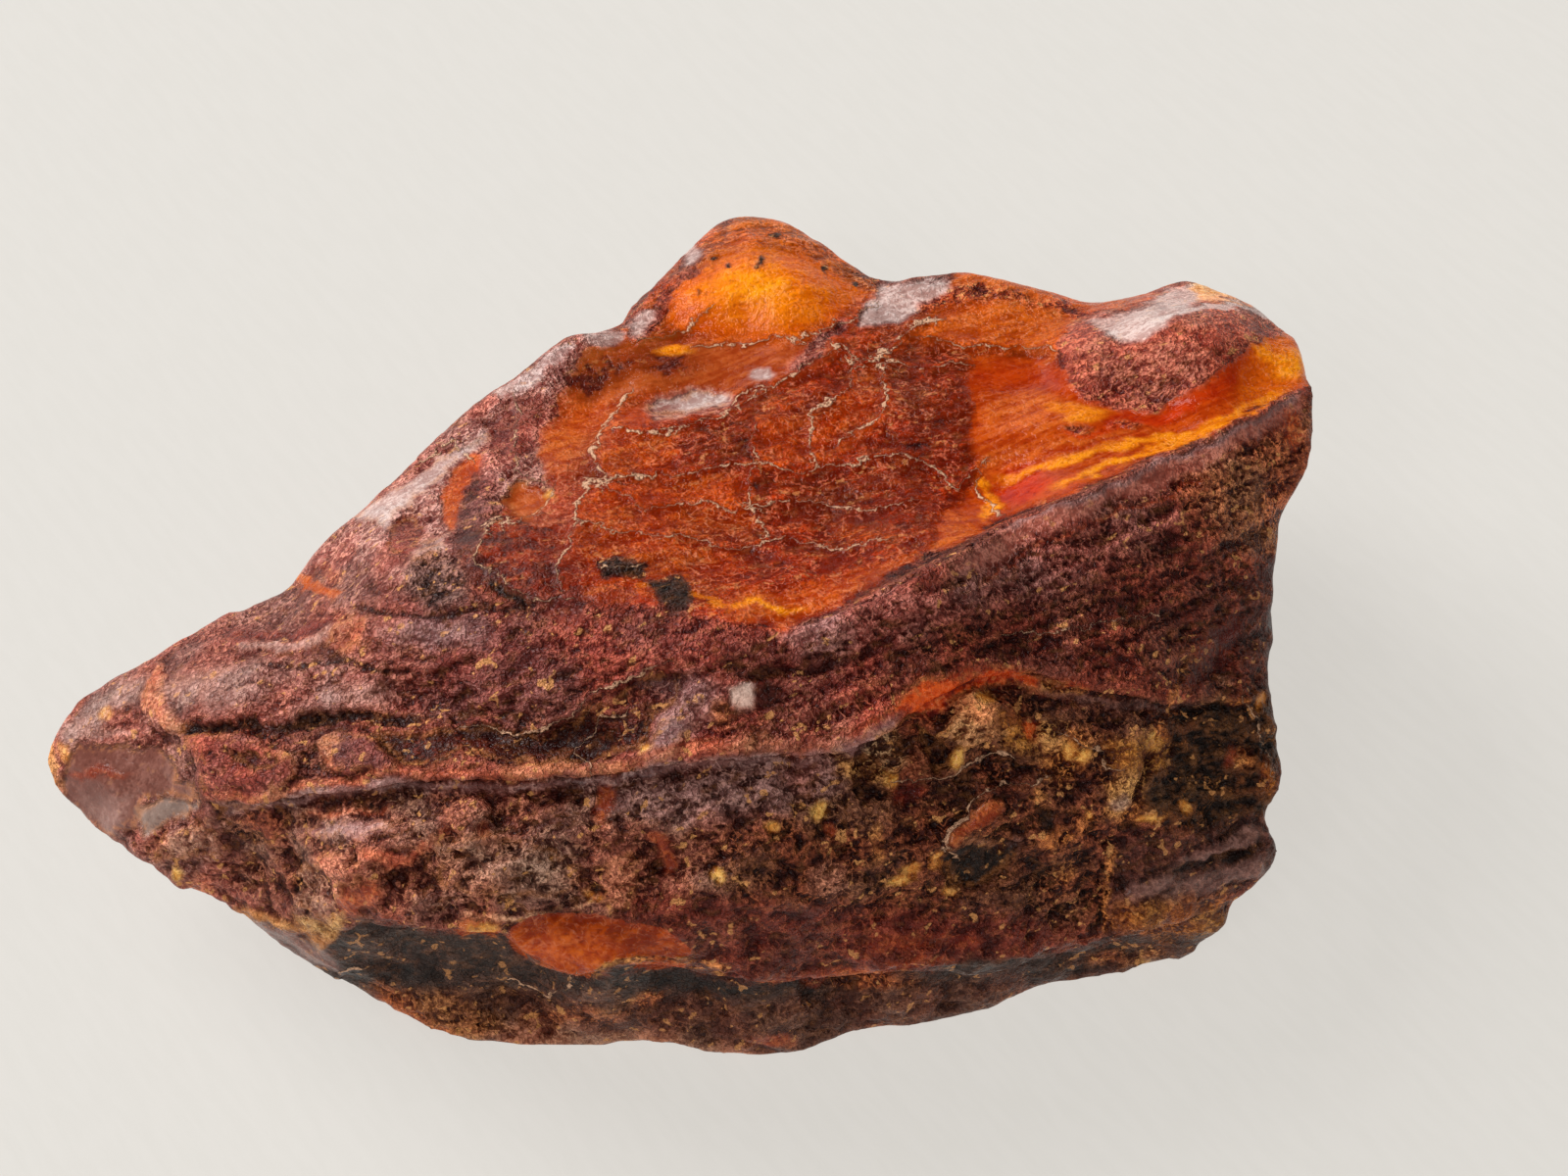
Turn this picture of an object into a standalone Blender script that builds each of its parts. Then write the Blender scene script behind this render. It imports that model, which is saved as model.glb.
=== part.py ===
"""Raw amber nugget: one lump of fossil resin, grown and broken as a single piece.

The skin is drawn on a perspective sheet, as a draughtsman would: the sheet stands square to a sight
line that falls 55 degrees below level, and each point of it is (across, up) in millimetres, with the
height above the table at which the sight line meets the amber. Two smooth height fields, the seen
side and the under side, share one outline. Ledges, grooves, dents and lumps are then laid on them.
"""

import math

import bmesh
import bpy
import numpy as np
from mathutils import Matrix, Vector, noise

MM = 0.001
AMBER_RED = (0.30, 0.075, 0.028)
AMBER_ROUGHNESS = 0.35
AMBER_IOR = 1.54
SHARP_ANGLE = math.radians(40.0)

# The drawing sheet.
SIGHT_FALL = math.radians(55.0)  # how far the sight line falls below level
EYE_DISTANCE = 260.0  # from the eye to the sheet's datum
DATUM_HEIGHT = 20.0  # height of the datum above the table
DATUM_UP = 4.2  # the sight axis passes this far above the sheet's zero

# The ball that becomes the nugget, and what it is thinned to.
BALL_SUBDIVISIONS = 7
VOXEL = 0.9
SMOOTHING_PASSES = 4
TARGET_TRIANGLES = 9800
HUB = (0.0, -2.0)  # sheet point from which the outline is measured out
EDGE_ROUNDING = 1.6  # how far each side stands off the outline's own edge
EDGE_SHARE = 0.16  # share of the quarter turn over which that rounding grows
EDGE_PULL = 8  # how late each side bends to meet the outline: a power of the way out

# Outline, clockwise from the snout's tip: across, up, height.
BACK_EDGE = [
    (-64.2, -10.6, 13.0), (-62.7, -7.6, 15.0), (-59.3, -3.8, 17.0), (-55.9, -2.4, 18.0),
    (-47.5, 2.5, 20.5), (-42.6, 4.0, 21.5), (-41.9, 6.0, 22.5), (-37.0, 10.0, 23.5),
    (-32.2, 14.4, 24.0), (-23.7, 21.6, 25.0), (-18.6, 25.8, 25.0), (-14.6, 26.7, 24.0),
]
DOME_EDGE = [
    (-11.9, 29.9, 22.0), (-8.5, 33.9, 20.0), (-5.9, 35.9, 19.0), (-3.0, 36.6, 19.0),
    (0.0, 36.2, 19.0), (4.2, 33.7, 19.5), (7.9, 30.9, 21.0),
]
SADDLE_EDGE = [
    (11.4, 30.5, 22.0), (15.7, 31.6, 22.0), (20.3, 30.3, 22.0), (27.0, 28.6, 21.5),
    (31.0, 29.7, 22.0), (35.2, 31.1, 23.0), (40.3, 28.8, 24.5), (44.9, 25.8, 27.0),
]
RIGHT_EDGE = [
    (45.9, 22.0, 30.0), (45.6, 15.3, 29.0), (43.5, 11.0, 27.0), (42.6, 5.9, 25.5),
    (42.4, 0.8, 24.0), (41.7, -3.4, 22.0), (42.6, -7.5, 20.0), (42.9, -11.9, 18.0),
    (41.7, -16.1, 15.0), (42.1, -19.5, 12.0), (38.6, -22.5, 9.0), (38.4, -24.2, 7.0),
]
FOOT_EDGE = [
    (35.6, -27.1, 3.0), (30.9, -28.8, 0.8), (22.0, -30.9, 0.0), (6.8, -34.3, 0.0),
    (-0.8, -36.7, 0.0), (-7.0, -36.2, 0.0), (-13.6, -35.3, 0.0), (-28.8, -35.3, 0.0),
    (-31.8, -34.0, 0.5), (-33.9, -32.2, 1.0), (-38.1, -29.7, 3.0), (-43.0, -26.5, 6.0),
    (-47.9, -22.9, 9.0), (-51.7, -22.0, 10.0), (-56.8, -18.6, 10.5), (-63.6, -13.1, 12.0),
]
OUTLINE = BACK_EDGE + DOME_EDGE + SADDLE_EDGE + RIGHT_EDGE + FOOT_EDGE

# Seen side, from the back of the nugget to its foot: across, up, height.
CREST = [
    (38.0, 18.5, 32.0), (30.0, 14.4, 33.5), (22.5, 11.0, 34.5), (16.0, 8.0, 35.5),
    (10.0, 4.5, 36.5), (3.0, 1.2, 37.0), (-6.0, 0.0, 37.0), (-14.0, 2.5, 36.5),
    (-21.0, 4.5, 35.5), (-28.0, 7.5, 33.5), (-35.0, 8.5, 29.5),
]
BOWL = [
    (33.0, 18.8, 29.5), (20.0, 15.0, 30.5), (17.8, 11.9, 30.5), (5.0, 9.0, 31.5),
    (5.0, 16.0, 29.0), (-5.0, 8.0, 32.0), (-5.0, 15.0, 29.5), (-15.0, 10.0, 32.0),
    (-15.0, 17.0, 28.5), (-20.0, 20.0, 26.5), (0.0, 22.0, 26.5), (-10.0, 23.0, 25.0),
    (12.0, 21.0, 27.0), (12.0, 26.0, 24.5), (20.0, 21.5, 26.5), (20.0, 26.0, 24.0),
]
DOME = [
    (-3.0, 34.0, 23.0), (-8.0, 30.0, 24.0), (-3.0, 31.0, 25.0), (2.5, 30.5, 24.5),
    (-3.0, 27.0, 24.0), (5.0, 28.0, 23.5), (-9.0, 26.5, 23.5),
]
THUMB = [
    (26.5, 24.0, 27.0), (31.5, 25.5, 29.0), (38.0, 26.0, 29.5), (30.0, 21.0, 28.5),
    (40.5, 22.0, 29.5),
]
UPPER_SLAB = [
    (38.0, 12.0, 31.5), (38.0, 4.0, 28.0), (30.0, 7.0, 32.5), (30.0, 0.0, 30.5),
    (20.0, 4.0, 34.0), (20.0, -1.0, 32.0), (10.0, -3.0, 34.0), (0.0, -4.0, 35.0),
    (-10.0, -5.0, 34.5), (-20.0, 0.0, 35.0), (-20.0, -6.0, 32.5), (-30.0, 1.0, 32.5),
    (-30.0, -4.0, 30.5), (-40.0, -1.0, 27.5), (-40.0, -7.0, 26.5),
]
SNOUT = [
    (-50.0, -4.0, 23.5), (-50.0, -9.0, 23.0), (-57.0, -8.0, 18.5), (-57.0, -13.0, 16.0),
    (-50.0, -17.0, 16.5), (-44.0, -14.0, 23.0),
]
LOWER_SLAB = [
    (-40.0, -17.0, 22.5), (-40.0, -22.5, 17.0), (-30.0, -16.0, 27.5), (-30.0, -21.0, 23.5),
    (-20.0, -16.0, 28.5), (-20.0, -22.0, 23.5), (-10.0, -14.0, 30.0), (-10.0, -20.0, 25.5),
    (0.0, -13.0, 30.0), (0.0, -19.0, 26.0), (0.0, -25.0, 20.0), (10.0, -11.0, 29.5),
    (10.0, -17.0, 25.5), (10.0, -24.0, 18.5), (20.0, -8.0, 29.0), (20.0, -15.0, 24.5),
    (20.0, -22.0, 18.0), (30.0, -10.0, 25.5), (30.0, -17.0, 20.0), (30.0, -22.0, 14.5),
    (38.0, -9.0, 21.5), (38.0, -16.0, 16.5),
]
RIM = [
    (-39.8, -26.2, 12.5), (-36.4, -24.6, 18.0), (-30.5, -25.0, 19.0), (-24.6, -25.6, 19.0),
    (-17.8, -28.6, 15.0), (-8.5, -28.0, 15.5), (-1.7, -29.4, 14.0), (11.0, -28.0, 13.5),
    (18.6, -28.0, 11.5), (29.7, -25.6, 11.0), (36.5, -22.8, 10.0),
]
UNDERCUT = [
    (-33.0, -27.4, 8.5), (-26.0, -28.4, 8.5), (-20.0, -30.0, 6.5), (-8.0, -30.4, 6.5),
    (4.0, -30.6, 5.5), (14.0, -29.6, 4.0), (26.0, -27.8, 3.0),
]
SEEN_SIDE = CREST + BOWL + DOME + THUMB + UPPER_SLAB + SNOUT + LOWER_SLAB + RIM + UNDERCUT

# Under side, drawn on the same sheet as if the amber were clear: across, up, height. Heights just
# under zero are cut off flat, which gives the patch that the nugget rests on.
RESTING_PATCH = [
    (-26.0, -30.0, -0.8), (-12.0, -31.0, -1.5), (4.0, -31.0, -1.5), (18.0, -27.0, -1.5),
    (28.0, -24.0, -0.8), (-29.0, -20.0, -0.4), (-15.0, -20.0, -2.0), (5.0, -20.0, -2.0),
    (22.0, -16.0, -1.6), (33.0, -16.0, 1.0), (-27.0, -8.0, 0.5), (-10.0, -8.0, -1.6),
    (10.0, -8.0, -1.6), (26.0, -6.0, -0.6), (-15.0, 3.0, 0.8), (5.0, 4.0, -0.4),
    (20.0, 4.0, 0.6),
]
SNOUT_BELLY = [
    (-38.0, -15.0, 6.0), (-45.0, -11.0, 9.0), (-52.0, -10.0, 11.0), (-58.0, -10.0, 12.0),
    (-36.0, -4.0, 6.5), (-45.0, -3.5, 12.5),
]
BACK_WALL = [
    (-28.0, 8.0, 11.0), (-15.0, 14.0, 8.0), (-20.0, 18.0, 14.0), (-5.0, 20.0, 5.0),
    (8.0, 18.0, 4.5), (20.0, 16.0, 5.0), (32.0, 15.0, 8.5), (38.0, 10.0, 11.0),
    (38.0, -2.0, 7.5), (-3.0, 29.0, 10.0), (-9.0, 27.0, 12.0), (14.0, 25.0, 11.0),
    (28.0, 23.0, 12.0), (38.0, 21.0, 17.0),
]
UNDER_SIDE = RESTING_PATCH + SNOUT_BELLY + BACK_WALL

# Relief on the seen side, drawn on the sheet. A step is (points, rise, run left, run right): the skin
# on the left of its line stands proud of the skin on the right, and fades back over those runs.
STEP_WIDTH = 0.5
ENDS_SHARE = 0.12  # share of a line's length over which each of its ends fades out
STEPS = {
    "crest": ([
        (47.0, 22.5), (38.1, 18.3), (30.0, 14.2), (22.5, 10.9), (16.1, 8.0), (10.0, 4.4),
        (3.0, 1.2), (-4.0, 0.6),
    ], 0.9, 3.5, 3.0),
    "ledge": ([
        (-46.6, -14.2), (-39.8, -13.7), (-32.2, -12.7), (-23.7, -12.3), (-16.9, -12.3),
        (-11.9, -11.2), (-5.1, -10.6), (4.2, -10.0), (8.5, -8.1), (11.9, -5.5), (16.1, -3.4),
        (22.0, -3.2), (26.3, -4.7), (32.2, -5.7), (37.3, -5.8), (42.5, -5.4),
    ], 0.8, 4.0, 3.0),
    "rim": ([
        (-39.8, -26.6), (-36.4, -24.4), (-30.5, -25.0), (-24.6, -25.4), (-22.0, -27.5),
        (-17.8, -29.2), (-13.6, -28.1), (-8.5, -28.4), (-1.7, -29.8), (4.2, -29.2),
        (11.0, -28.4), (18.6, -28.4), (24.6, -26.7), (29.7, -25.8), (38.5, -23.4),
    ], 1.6, 2.4, 3.6),
    "dome foot": ([
        (9.5, 29.8), (5.0, 26.6), (1.0, 25.2), (-6.0, 25.3), (-14.0, 25.9),
    ], 0.45, 3.0, 3.0),
    "plate": ([
        (15.5, 24.5), (11.0, 22.0), (8.0, 20.8), (3.0, 21.8), (-2.0, 19.4), (-8.0, 18.4),
        (-14.5, 20.0), (-17.0, 17.0), (-15.5, 13.5), (-19.0, 7.5),
    ], 0.35, 3.0, 3.0),
    "left shoulder": ([
        (-22.0, 5.0), (-27.0, 8.5), (-24.0, 14.0), (-20.5, 20.0), (-19.0, 25.0),
    ], 0.3, 2.5, 2.5),
}
# A groove or a spur is (points, depth or height, half width).
GROOVES = {
    "long crease": ([
        (-36.0, -4.2), (-31.0, -5.2), (-26.0, -7.0), (-20.0, -8.6), (-13.6, -9.8),
    ], 1.5, 1.7),
    "flow line": ([
        (-3.0, -2.5), (5.1, -1.5), (15.0, 0.0), (25.4, 1.9), (34.0, 4.2),
    ], 0.35, 1.0),
    "split": ([(33.2, -7.5), (31.0, -12.0), (29.2, -18.0), (27.1, -25.0)], 0.7, 0.8),
    "right bite": ([(44.0, 2.0), (39.0, -1.0), (36.5, -5.0)], 0.8, 1.8),
    "foot hollow": ([(36.0, -24.5), (28.0, -28.0), (18.0, -29.6)], 0.7, 1.2),
}
SPURS = {
    "back rim": ([
        (-41.0, 6.6), (-36.4, 10.0), (-31.6, 14.4), (-23.3, 21.2), (-18.4, 25.2), (-14.0, 26.4),
    ], 0.8, 1.3),
    "saddle rim": ([(8.5, 30.2), (15.7, 31.0), (20.3, 29.7), (27.0, 28.1), (31.0, 29.2)], 0.6, 1.0),
    "crest line": ([
        (45.9, 21.8), (38.1, 18.0), (30.0, 13.9), (22.5, 10.6), (16.1, 7.7), (10.0, 4.1),
        (3.0, 0.9),
    ], 0.9, 1.8),
    "shoulder line": ([(3.0, 0.9), (-6.0, 1.0), (-14.0, 3.5), (-21.0, 5.0), (-28.0, 8.0)], 0.5, 2.5),
    "hook": ([(19.0, -14.2), (16.5, -16.2), (14.0, -18.6)], 0.8, 0.9),
    "right ribs": ([(42.0, -17.5), (36.0, -18.6), (30.0, -21.5)], 0.8, 1.4),
    "low ribs": ([(41.0, -20.5), (34.0, -22.8), (28.0, -24.4)], 0.6, 1.2),
}
# Dents sink and lumps rise: (across, up, half length, half width, turn in degrees, amount).
DENTS = [
    (8.9, -10.7, 3.2, 1.9, 25.0, 1.7), (3.8, -15.3, 1.3, 2.1, 15.0, 0.9),
    (15.7, -20.6, 4.2, 2.0, 12.0, 0.9), (-22.0, 12.6, 3.4, 2.6, 20.0, 0.9),
    (-27.8, 11.8, 2.0, 3.4, -20.0, 0.8), (-31.5, 9.4, 2.4, 1.7, 0.0, 1.0),
    (-8.0, 20.9, 5.2, 1.7, 6.0, 0.7), (-46.0, -10.6, 1.8, 1.2, 10.0, 0.9),
    (-24.0, 5.4, 2.6, 1.0, -25.0, 0.8), (-46.6, -20.2, 1.6, 1.2, 0.0, 0.7),
    (-55.0, -10.5, 5.0, 3.4, -30.0, 0.5), (35.6, -11.0, 3.6, 2.4, 0.0, 0.8),
    (-29.5, -27.6, 7.0, 2.0, -12.0, 0.8), (24.5, -11.5, 3.4, 2.2, 20.0, 0.7),
    (-17.0, 20.3, 4.6, 3.0, 50.0, 0.9), (22.0, 14.5, 8.0, 2.6, 26.0, 0.9),
    (-9.0, -31.6, 6.0, 1.6, 0.0, 0.6), (9.0, -31.0, 5.0, 1.4, 8.0, 0.6),
]
LUMPS = [
    (-45.8, -10.8, 4.4, 2.9, -10.0, 1.3), (-36.2, -10.4, 3.0, 1.9, 10.0, 1.0),
    (33.0, 25.2, 8.5, 4.0, 6.0, 1.5), (26.0, 24.0, 3.2, 3.0, 0.0, 0.8),
    (42.2, -11.9, 2.6, 2.2, 0.0, 1.1), (41.0, -18.8, 3.6, 2.0, 20.0, 1.1),
    (17.0, -6.8, 3.8, 2.4, -20.0, 1.1), (6.4, -7.4, 3.0, 1.6, 30.0, 0.8),
    (36.5, -25.6, 4.5, 1.8, 18.0, 0.9), (-30.0, -16.5, 5.5, 2.2, 12.0, 0.8),
    (-14.5, -17.0, 4.6, 2.6, -30.0, 0.8), (2.0, -20.5, 5.0, 2.8, 10.0, 0.6),
    (-38.5, -18.0, 5.0, 2.4, 5.0, 0.7), (-47.0, -4.5, 7.0, 2.4, 12.0, 0.6),
    (22.5, -17.0, 3.6, 2.4, 0.0, 0.6), (-33.5, 1.5, 6.0, 2.0, -8.0, 0.5),
]
# Shell-shaped breaks on the sides that the sheet doesn't show: x, y, z, reach, depth.
BREAKS = [
    (20.0, 20.0, 10.0, 15.0, 2.2), (-14.0, 12.0, 12.0, 12.0, 1.8), (44.0, -2.0, 12.0, 13.0, 1.6),
    (-38.0, -14.0, 9.0, 9.0, 1.3), (4.0, 26.0, 9.0, 8.0, 1.4), (38.0, 10.0, 18.0, 8.0, 1.2),
    (-52.0, -20.0, 10.0, 8.0, 0.9), (0.0, 8.0, 1.0, 11.0, 1.6), (-24.0, -12.0, 1.0, 9.0, 1.2),
]
# Waves of the skin, from broad swells down to crumbs: (height, distance between them).
CALM_SWELL = (0.35, 7.5)
LUMPY_SWELL = (0.75, 7.5)
HIDDEN_SWELL = (0.75, 11.0)
CRUMBS = (0.22, 2.6)
CALM_CRUMB_SHARE = 0.4
WAVE_FALL, WAVE_STEP, WAVE_OCTAVES = 0.6, 2.1, 3
LUMPY_RUN = 3.0  # the skin grows lumpy over this distance below the ledge
# Layers in which the resin flowed, which end in low steps on the hidden sides.
LAYER_DIRECTION = (0.25, 0.35, 0.9)
LAYER_THICKNESS = 8.5
LAYER_STEP = 0.9
LAYER_WAVE = (3.0, 24.0)
# The drawn relief fades into the hidden one where the skin turns away from the eye by these cosines.
HIDDEN_BELOW, SEEN_ABOVE = -0.08, 0.17


def sight_axes():
    """The sheet's up direction and the direction from the datum to the eye."""
    up = Vector((0.0, math.sin(SIGHT_FALL), math.cos(SIGHT_FALL)))
    to_eye = Vector((0.0, -math.cos(SIGHT_FALL), math.sin(SIGHT_FALL)))
    return np.array(up), np.array(to_eye)


def sheet_datum():
    """Where the sheet's zero lies in the world."""
    return np.array((0.0, -DATUM_HEIGHT / math.tan(SIGHT_FALL), DATUM_HEIGHT))


def eye_place():
    """Where the eye stands in the world."""
    sheet_up, to_eye = sight_axes()
    return sheet_datum() + DATUM_UP * sheet_up + EYE_DISTANCE * to_eye


def from_sheet(across, up, height):
    """World points, in mm, where the sight lines through sheet points reach the given heights."""
    eye = eye_place()
    on_sheet = sheet_datum() + np.outer(across, (1.0, 0.0, 0.0)) + np.outer(up, sight_axes()[0])
    rays = on_sheet - eye
    reach = (height - eye[2]) / rays[:, 2]
    return eye + rays * reach[:, None]


def to_sheet(points):
    """Sheet coordinates of world points in mm."""
    sheet_up, to_eye = sight_axes()
    rays = points - eye_place()
    scale = EYE_DISTANCE / -(rays @ to_eye)
    return np.stack([rays[:, 0] * scale, (rays @ sheet_up) * scale + DATUM_UP], axis=1)


def thin_plate(stations):
    """The smoothest height field through stations of (across, up, height)."""
    table = np.array(stations)
    places, heights = table[:, :2], table[:, 2]

    def kernel(points):
        squared = ((points[:, None, :] - places[None, :, :]) ** 2).sum(2)
        return 0.5 * squared * np.log(squared + 1e-9)

    count = len(places)
    plane = np.hstack([np.ones((count, 1)), places])
    system = np.zeros((count + 3, count + 3))
    system[:count, :count] = kernel(places)
    system[:count, count:] = plane
    system[count:, :count] = plane.T
    weights = np.linalg.solve(system, np.append(heights, np.zeros(3)))

    def field(points):
        flat = weights[count] + points @ weights[count + 1:]
        return kernel(points) @ weights[:count] + flat

    return field


def outline_at(angles):
    """Sheet points and heights of the outline at the given angles about the hub."""
    table = np.array(OUTLINE)
    offsets = table[:, :2] - HUB
    turns = np.arctan2(offsets[:, 1], offsets[:, 0])
    reaches = np.hypot(offsets[:, 0], offsets[:, 1])
    reach = np.interp(angles, turns, reaches, period=2 * math.pi)
    height = np.interp(angles, turns, table[:, 2], period=2 * math.pi)
    ways = np.stack([np.cos(angles), np.sin(angles)], axis=1)
    return HUB + ways * reach[:, None], height


def skin(ball):
    """World places, in mm, to which the points of a unit ball go on the nugget's smooth form."""
    angles = np.arctan2(ball[:, 1], ball[:, 0])
    share = np.hypot(ball[:, 0], ball[:, 1])
    edge, edge_height = outline_at(angles)
    places = HUB + (edge - HUB) * share[:, None]
    heights = np.zeros(len(ball))
    for stations, half in ((SEEN_SIDE, ball[:, 2] >= 0), (UNDER_SIDE, ball[:, 2] < 0)):
        field = thin_plate(OUTLINE + stations)
        miss = edge_height[half] - field(edge[half])
        heights[half] = field(places[half]) + miss * share[half] ** EDGE_PULL
    points = from_sheet(places[:, 0], places[:, 1], heights)
    latitude = np.arcsin(np.clip(ball[:, 2], -1.0, 1.0)) / (math.pi / 2)
    stand_off = EDGE_ROUNDING * np.sign(latitude) * (1 - np.exp(-np.abs(latitude) / EDGE_SHARE))
    return points + np.outer(stand_off, sight_axes()[1])


def from_line(places, line):
    """Distance from a drawn line, its side (left is 1), and how near the line's ends are, 1 to 0."""
    stops = np.array(line)
    lengths = np.hypot(*(stops[1:] - stops[:-1]).T)
    best = np.full(len(places), np.inf)
    side = np.ones(len(places))
    along = np.zeros(len(places))
    walked = 0.0
    for start, end, length in zip(stops[:-1], stops[1:], lengths):
        way = (end - start) / length
        offset = places - start
        run = np.clip(offset @ way, 0.0, length)
        apart = np.hypot(*(offset - np.outer(run, way)).T)
        nearer = apart < best
        best = np.where(nearer, apart, best)
        turn = way[0] * offset[:, 1] - way[1] * offset[:, 0]
        side = np.where(nearer, np.where(turn >= 0, 1.0, -1.0), side)
        along = np.where(nearer, (walked + run) / lengths.sum(), along)
        walked += length
    middle = np.clip(np.minimum(along, 1.0 - along) / ENDS_SHARE, 0.0, 1.0)
    return best, side, middle


def oval_at(places, across, up, half_length, half_width, turn):
    """1 at the middle of a turned oval, falling softly to 0 just past its edge."""
    angle = math.radians(turn)
    offset = places - (across, up)
    long = (offset @ (math.cos(angle), math.sin(angle))) / half_length
    wide = (offset @ (-math.sin(angle), math.cos(angle))) / half_width
    return np.clip(1.0 - (long ** 2 + wide ** 2) / 1.6, 0.0, 1.0) ** 1.5


def drawn_relief(places):
    """How far the drawn ledges, grooves, spurs, dents and lumps raise the seen skin, in mm."""
    rise = np.zeros(len(places))
    for line, height, run_left, run_right in STEPS.values():
        apart, side, middle = from_line(places, line)
        run = np.where(side < 0, run_right, run_left)
        rise += height * middle * side * np.exp(-apart / run) * np.tanh(apart / STEP_WIDTH)
    for line, depth, half_width in GROOVES.values():
        apart, _, middle = from_line(places, line)
        rise -= depth * middle * np.exp(-(apart / half_width) ** 2)
    for line, height, half_width in SPURS.values():
        apart, _, middle = from_line(places, line)
        rise += height * middle * np.exp(-apart / half_width)
    for *oval, depth in DENTS:
        rise -= depth * oval_at(places, *oval)
    for *oval, height in LUMPS:
        rise += height * oval_at(places, *oval)
    return rise


def waves(points, swell):
    """How far waves of a (height, distance) pair raise world points, in mm."""
    height, distance = swell
    return height * np.array([
        noise.fractal(Vector(point) / distance, WAVE_FALL, WAVE_STEP, WAVE_OCTAVES)
        for point in points
    ])


def hidden_relief(points):
    """How far the flow layers and shell-shaped breaks raise the hidden skin, in mm."""
    bent = points @ np.array(LAYER_DIRECTION) + waves(points, LAYER_WAVE)
    rise = LAYER_STEP * (np.mod(bent / LAYER_THICKNESS, 1.0) - 0.5)
    for x, y, z, reach, depth in BREAKS:
        near = 1.0 - ((points - (x, y, z)) ** 2).sum(1) / reach ** 2
        rise -= depth * np.clip(near, 0.0, 1.0)
    return rise + waves(points, HIDDEN_SWELL)


def relief(points, normals):
    """How far the whole relief moves each point of the smooth form out along its normal, in mm."""
    places = to_sheet(points)
    facing = normals @ sight_axes()[1]
    seen = np.clip((facing - HIDDEN_BELOW) / (SEEN_ABOVE - HIDDEN_BELOW), 0.0, 1.0)
    apart, side, _ = from_line(places, STEPS["ledge"][0])
    lumpy = np.where(side < 0, np.clip(apart / LUMPY_RUN, 0.0, 1.0), 0.0)
    swell = (1.0 - lumpy) * waves(points, CALM_SWELL) + lumpy * waves(points, LUMPY_SWELL)
    crumbs = waves(points, CRUMBS) * (CALM_CRUMB_SHARE + (1.0 - CALM_CRUMB_SHARE) * lumpy)
    return (drawn_relief(places) + swell) * seen + hidden_relief(points) * (1.0 - seen) + crumbs


def keep_evaluated(obj):
    """Gives the object its mesh as its modifiers leave it, and drops them."""
    graph = bpy.context.evaluated_depsgraph_get()
    mesh = bpy.data.meshes.new_from_object(obj.evaluated_get(graph))
    obj.modifiers.clear()
    obj.data = mesh


def read_vectors(collection, attribute):
    """The vectors that a mesh's collection holds, one row each."""
    values = np.zeros(len(collection) * 3, np.float32)
    collection.foreach_get(attribute, values)
    return values.reshape(-1, 3).astype(float)


def shape_smooth_form(obj):
    """Sends a ball's points to the skin, then evens out the faces."""
    form = bmesh.new()
    bmesh.ops.create_icosphere(form, subdivisions=BALL_SUBDIVISIONS, radius=1.0)
    ball = np.array([vertex.co for vertex in form.verts])
    for vertex, place in zip(form.verts, skin(ball)):
        vertex.co = Vector(place) * MM
    form.to_mesh(obj.data)
    form.free()
    even = obj.modifiers.new("even faces", "REMESH")
    even.mode = "VOXEL"
    even.voxel_size = VOXEL * MM
    soften = obj.modifiers.new("soften", "SMOOTH")
    soften.iterations = SMOOTHING_PASSES
    keep_evaluated(obj)


def lay_relief(obj):
    """Raises and sinks the even skin, then thins its faces where the form is plain."""
    mesh = obj.data
    points = read_vectors(mesh.vertices, "co") / MM
    normals = read_vectors(mesh.vertex_normals, "vector")
    moved = points + normals * relief(points, normals)[:, None]
    mesh.vertices.foreach_set("co", (moved * MM).astype(np.float32).ravel())
    mesh.update()
    mesh.calc_loop_triangles()
    thin = obj.modifiers.new("thin", "DECIMATE")
    thin.ratio = TARGET_TRIANGLES / len(mesh.loop_triangles)
    keep_evaluated(obj)


def cut_resting_patch(obj):
    """Cuts the foot off level with the table."""
    form = bmesh.new()
    form.from_mesh(obj.data)
    everything = form.verts[:] + form.edges[:] + form.faces[:]
    cut = bmesh.ops.bisect_plane(
        form, geom=everything, dist=1e-7, plane_co=(0, 0, 0), plane_no=(0, 0, 1), clear_inner=True
    )
    rim = [part for part in cut["geom_cut"] if isinstance(part, bmesh.types.BMEdge)]
    bmesh.ops.holes_fill(form, edges=rim, sides=0)
    bmesh.ops.recalc_face_normals(form, faces=form.faces[:])
    form.to_mesh(obj.data)
    form.free()


def set_origin(obj):
    """Puts the world's origin at the middle of the foot of the nugget's box."""
    points = read_vectors(obj.data.vertices, "co")
    middle = (points.min(0) + points.max(0)) / 2
    obj.data.transform(Matrix.Translation((-middle[0], -middle[1], 0.0)))


def amber():
    """Dark red amber with the dull shine of its weathered crust."""
    material = bpy.data.materials.new("amber")
    material.use_nodes = True
    shader = material.node_tree.nodes["Principled BSDF"]
    shader.inputs["Base Color"].default_value = (*AMBER_RED, 1.0)
    shader.inputs["Roughness"].default_value = AMBER_ROUGHNESS
    shader.inputs["Metallic"].default_value = 0.0
    shader.inputs["IOR"].default_value = AMBER_IOR
    return material


def build():
    """Clears the scene and makes the nugget."""
    for old in list(bpy.data.objects):
        bpy.data.objects.remove(old)
    nugget = bpy.data.objects.new("amber_nugget", bpy.data.meshes.new("amber_nugget"))
    bpy.context.scene.collection.objects.link(nugget)
    shape_smooth_form(nugget)
    lay_relief(nugget)
    cut_resting_patch(nugget)
    set_origin(nugget)
    nugget.data.materials.append(amber())
    nugget.data.shade_smooth()
    nugget.data.set_sharp_from_angle(angle=SHARP_ANGLE)


build()
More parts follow.
